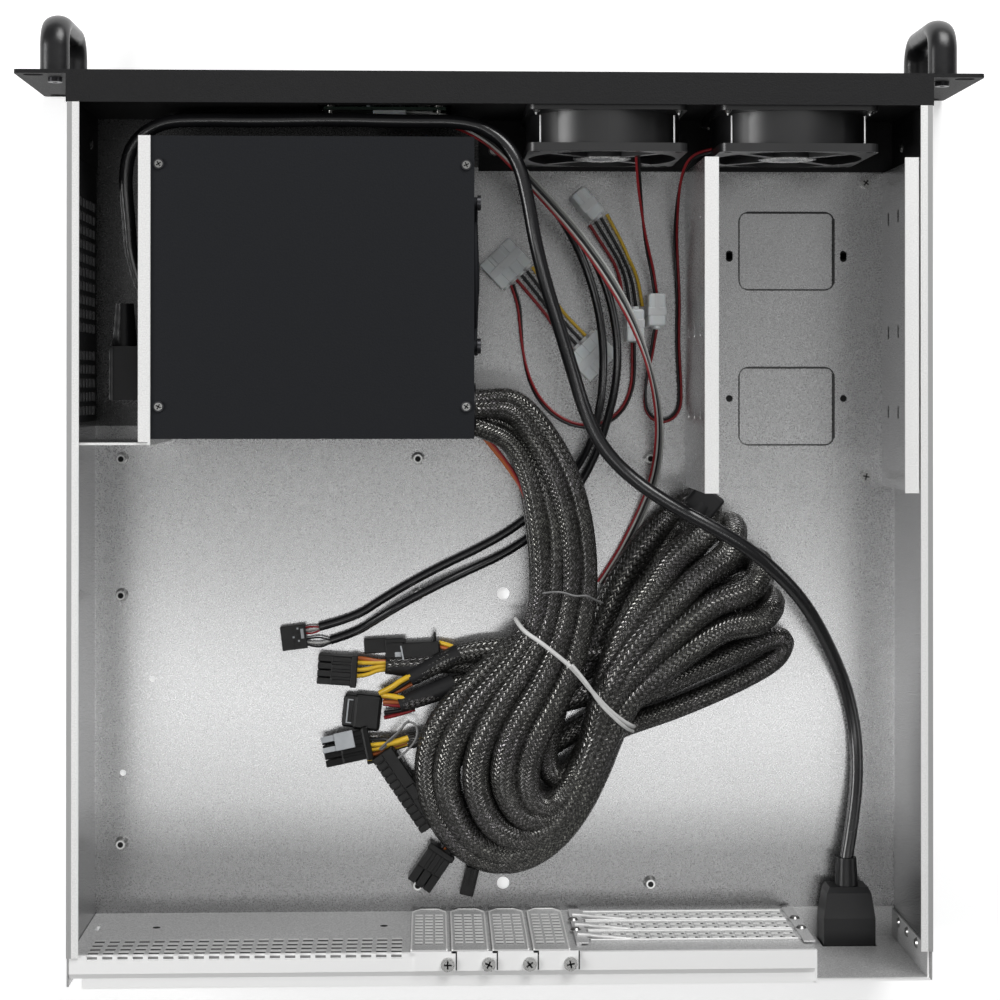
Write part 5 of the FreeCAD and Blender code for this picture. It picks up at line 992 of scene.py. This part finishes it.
nylon_set = Shape()
cell_width = 5.4
for x, y, angle, flat in ((-4.6, -120.0, 134, True), (-50.4, -71.9, -45, True), (-47.6, -151.4, 131, False),
                          (-84, -95, 90, False), (-72.5, -88, -90, False)):
    nylon_set.stand(x, y, 1, angle)
    for cell in range(4):
        low = (cell - 2) * cell_width
        middle = low + cell_width / 2
        if flat:
            nylon_set.block((-9.4, low, 0.3), (8.2, low + cell_width, 9.2), clear_nylon, 0.45)
            nylon_set.rod((8, middle, 4.8), (9.5, middle, 4.8), 1.9, clear_nylon)
        else:
            nylon_set.block((-9.3, -4.6, low + 11), (8, 4.6, low + 16), clear_nylon, 1.2)
            nylon_set.rod((8, 0, low + 13.5), (9.3, 0, low + 13.5), 1.9, clear_nylon)
    if flat:
        nylon_set.block((-3, -10.8, 0), (1.6, 10.8, 9.6), clear_nylon, 0.5)
        nylon_set.block((-9, -3, 8.8), (-3, 3, 9.6), clear_nylon, 0.3)
    else:
        nylon_set.block((-2, -4.8, 0.2), (2.6, 4.8, 21.6), clear_nylon, 0.5)
        nylon_set.block((-9, -1.4, 20.8), (-1, 1.4, 21.6), clear_nylon, 0.3)
nylon_set = nylon_set.done("nylon_plug_set", "nylon")
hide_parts("nylon_plugs")

# ---------------------------------------------------------------------------------------------
# Front fans. Frames and rotors are moulded in glossy black plastic; a plain round label sits on
# each motor's hub.
fan_black = Finish("fan_black", specular_ior_level=0.9)
gloss = fan_black.blend(fan_black.noise(60.0), (0.008, 0.008, 0.0085), (0.014, 0.014, 0.015))
fan_black.set(base_color=gloss, roughness=fan_black.noise(40.0) * 0.1 + 0.3)
coat(fan_black, "fan_plastic")
hubs = Shape()
for x in fan_places:
    hubs.rod((x, -172.6, 45), (x, -172.3, 45), 13.6, zinc_plate, sides=48)
    hubs.rod((x, -172.4, 45), (x, -172.2, 45), 5.6, latch_grey, sides=32)
hubs.done("fan_hub_labels", "zinc_screws")

# ---------------------------------------------------------------------------------------------
# Floor and light. The case lies on a plain white floor in a white room. The sky is a wide dim
# panel, the strip is mirrored as a bright band in the steel floor, and the two low lamps draw the
# highlights on fans, cords and plugs.
floor_mesh = bpy.data.meshes.new("floor")
sheet = bmesh.new()
bmesh.ops.create_grid(sheet, x_segments=1, y_segments=1, size=6.0)
bmesh.ops.translate(sheet, verts=sheet.verts, vec=(0, 0, -0.0006))
sheet.to_mesh(floor_mesh)
sheet.free()
floor = bpy.data.objects.new("floor", floor_mesh)
bpy.context.collection.objects.link(floor)
floor_paint = Finish("floor_paint", base_color=(0.92, 0.92, 0.92), roughness=0.9,
                     emission_color=(1, 1, 1, 1), emission_strength=0.45)
floor_mesh.materials.append(floor_paint.material)

world = bpy.data.worlds.new("studio")
bpy.context.scene.world = world
world.use_nodes = True
world.node_tree.nodes["Background"].inputs["Color"].default_value = (1, 1, 1, 1)
world.node_tree.nodes["Background"].inputs["Strength"].default_value = 0.13

# name: place, the point it faces, turn about its axis, width, depth and power
lamps = {
    "lamp_sky": ((0, 0, 2.6), (0, 0.01, 0), 0, 3.0, 3.0, 6.2),
    "lamp_strip": ((-0.06, 0.35, 1.6), (-0.06, 0.12, 0.0), -2, 1.9, 0.14, 3.2),
    "lamp_side": ((1.6, 0.0, 0.9), (0, 0, 0.03), 0, 1.0, 0.6, 16.0),
    "lamp_front": ((-0.5, -1.3, 1.0), (0, 0.1, 0.03), 0, 0.9, 0.9, 20.0),
}
for name, (place, target, turn, width, depth, power) in lamps.items():
    lamp = bpy.data.lights.new(name, "AREA")
    lamp.shape = "RECTANGLE"
    lamp.size = width
    lamp.size_y = depth
    lamp.energy = power
    holder = bpy.data.objects.new(name, lamp)
    holder.location = place
    holder.rotation_euler = (Vector(target) - Vector(place)).to_track_quat("-Z", "Y").to_euler()
    holder.rotation_euler.rotate_axis("Z", math.radians(turn))
    bpy.context.collection.objects.link(holder)
bpy.context.scene.view_settings.view_transform = "Standard"
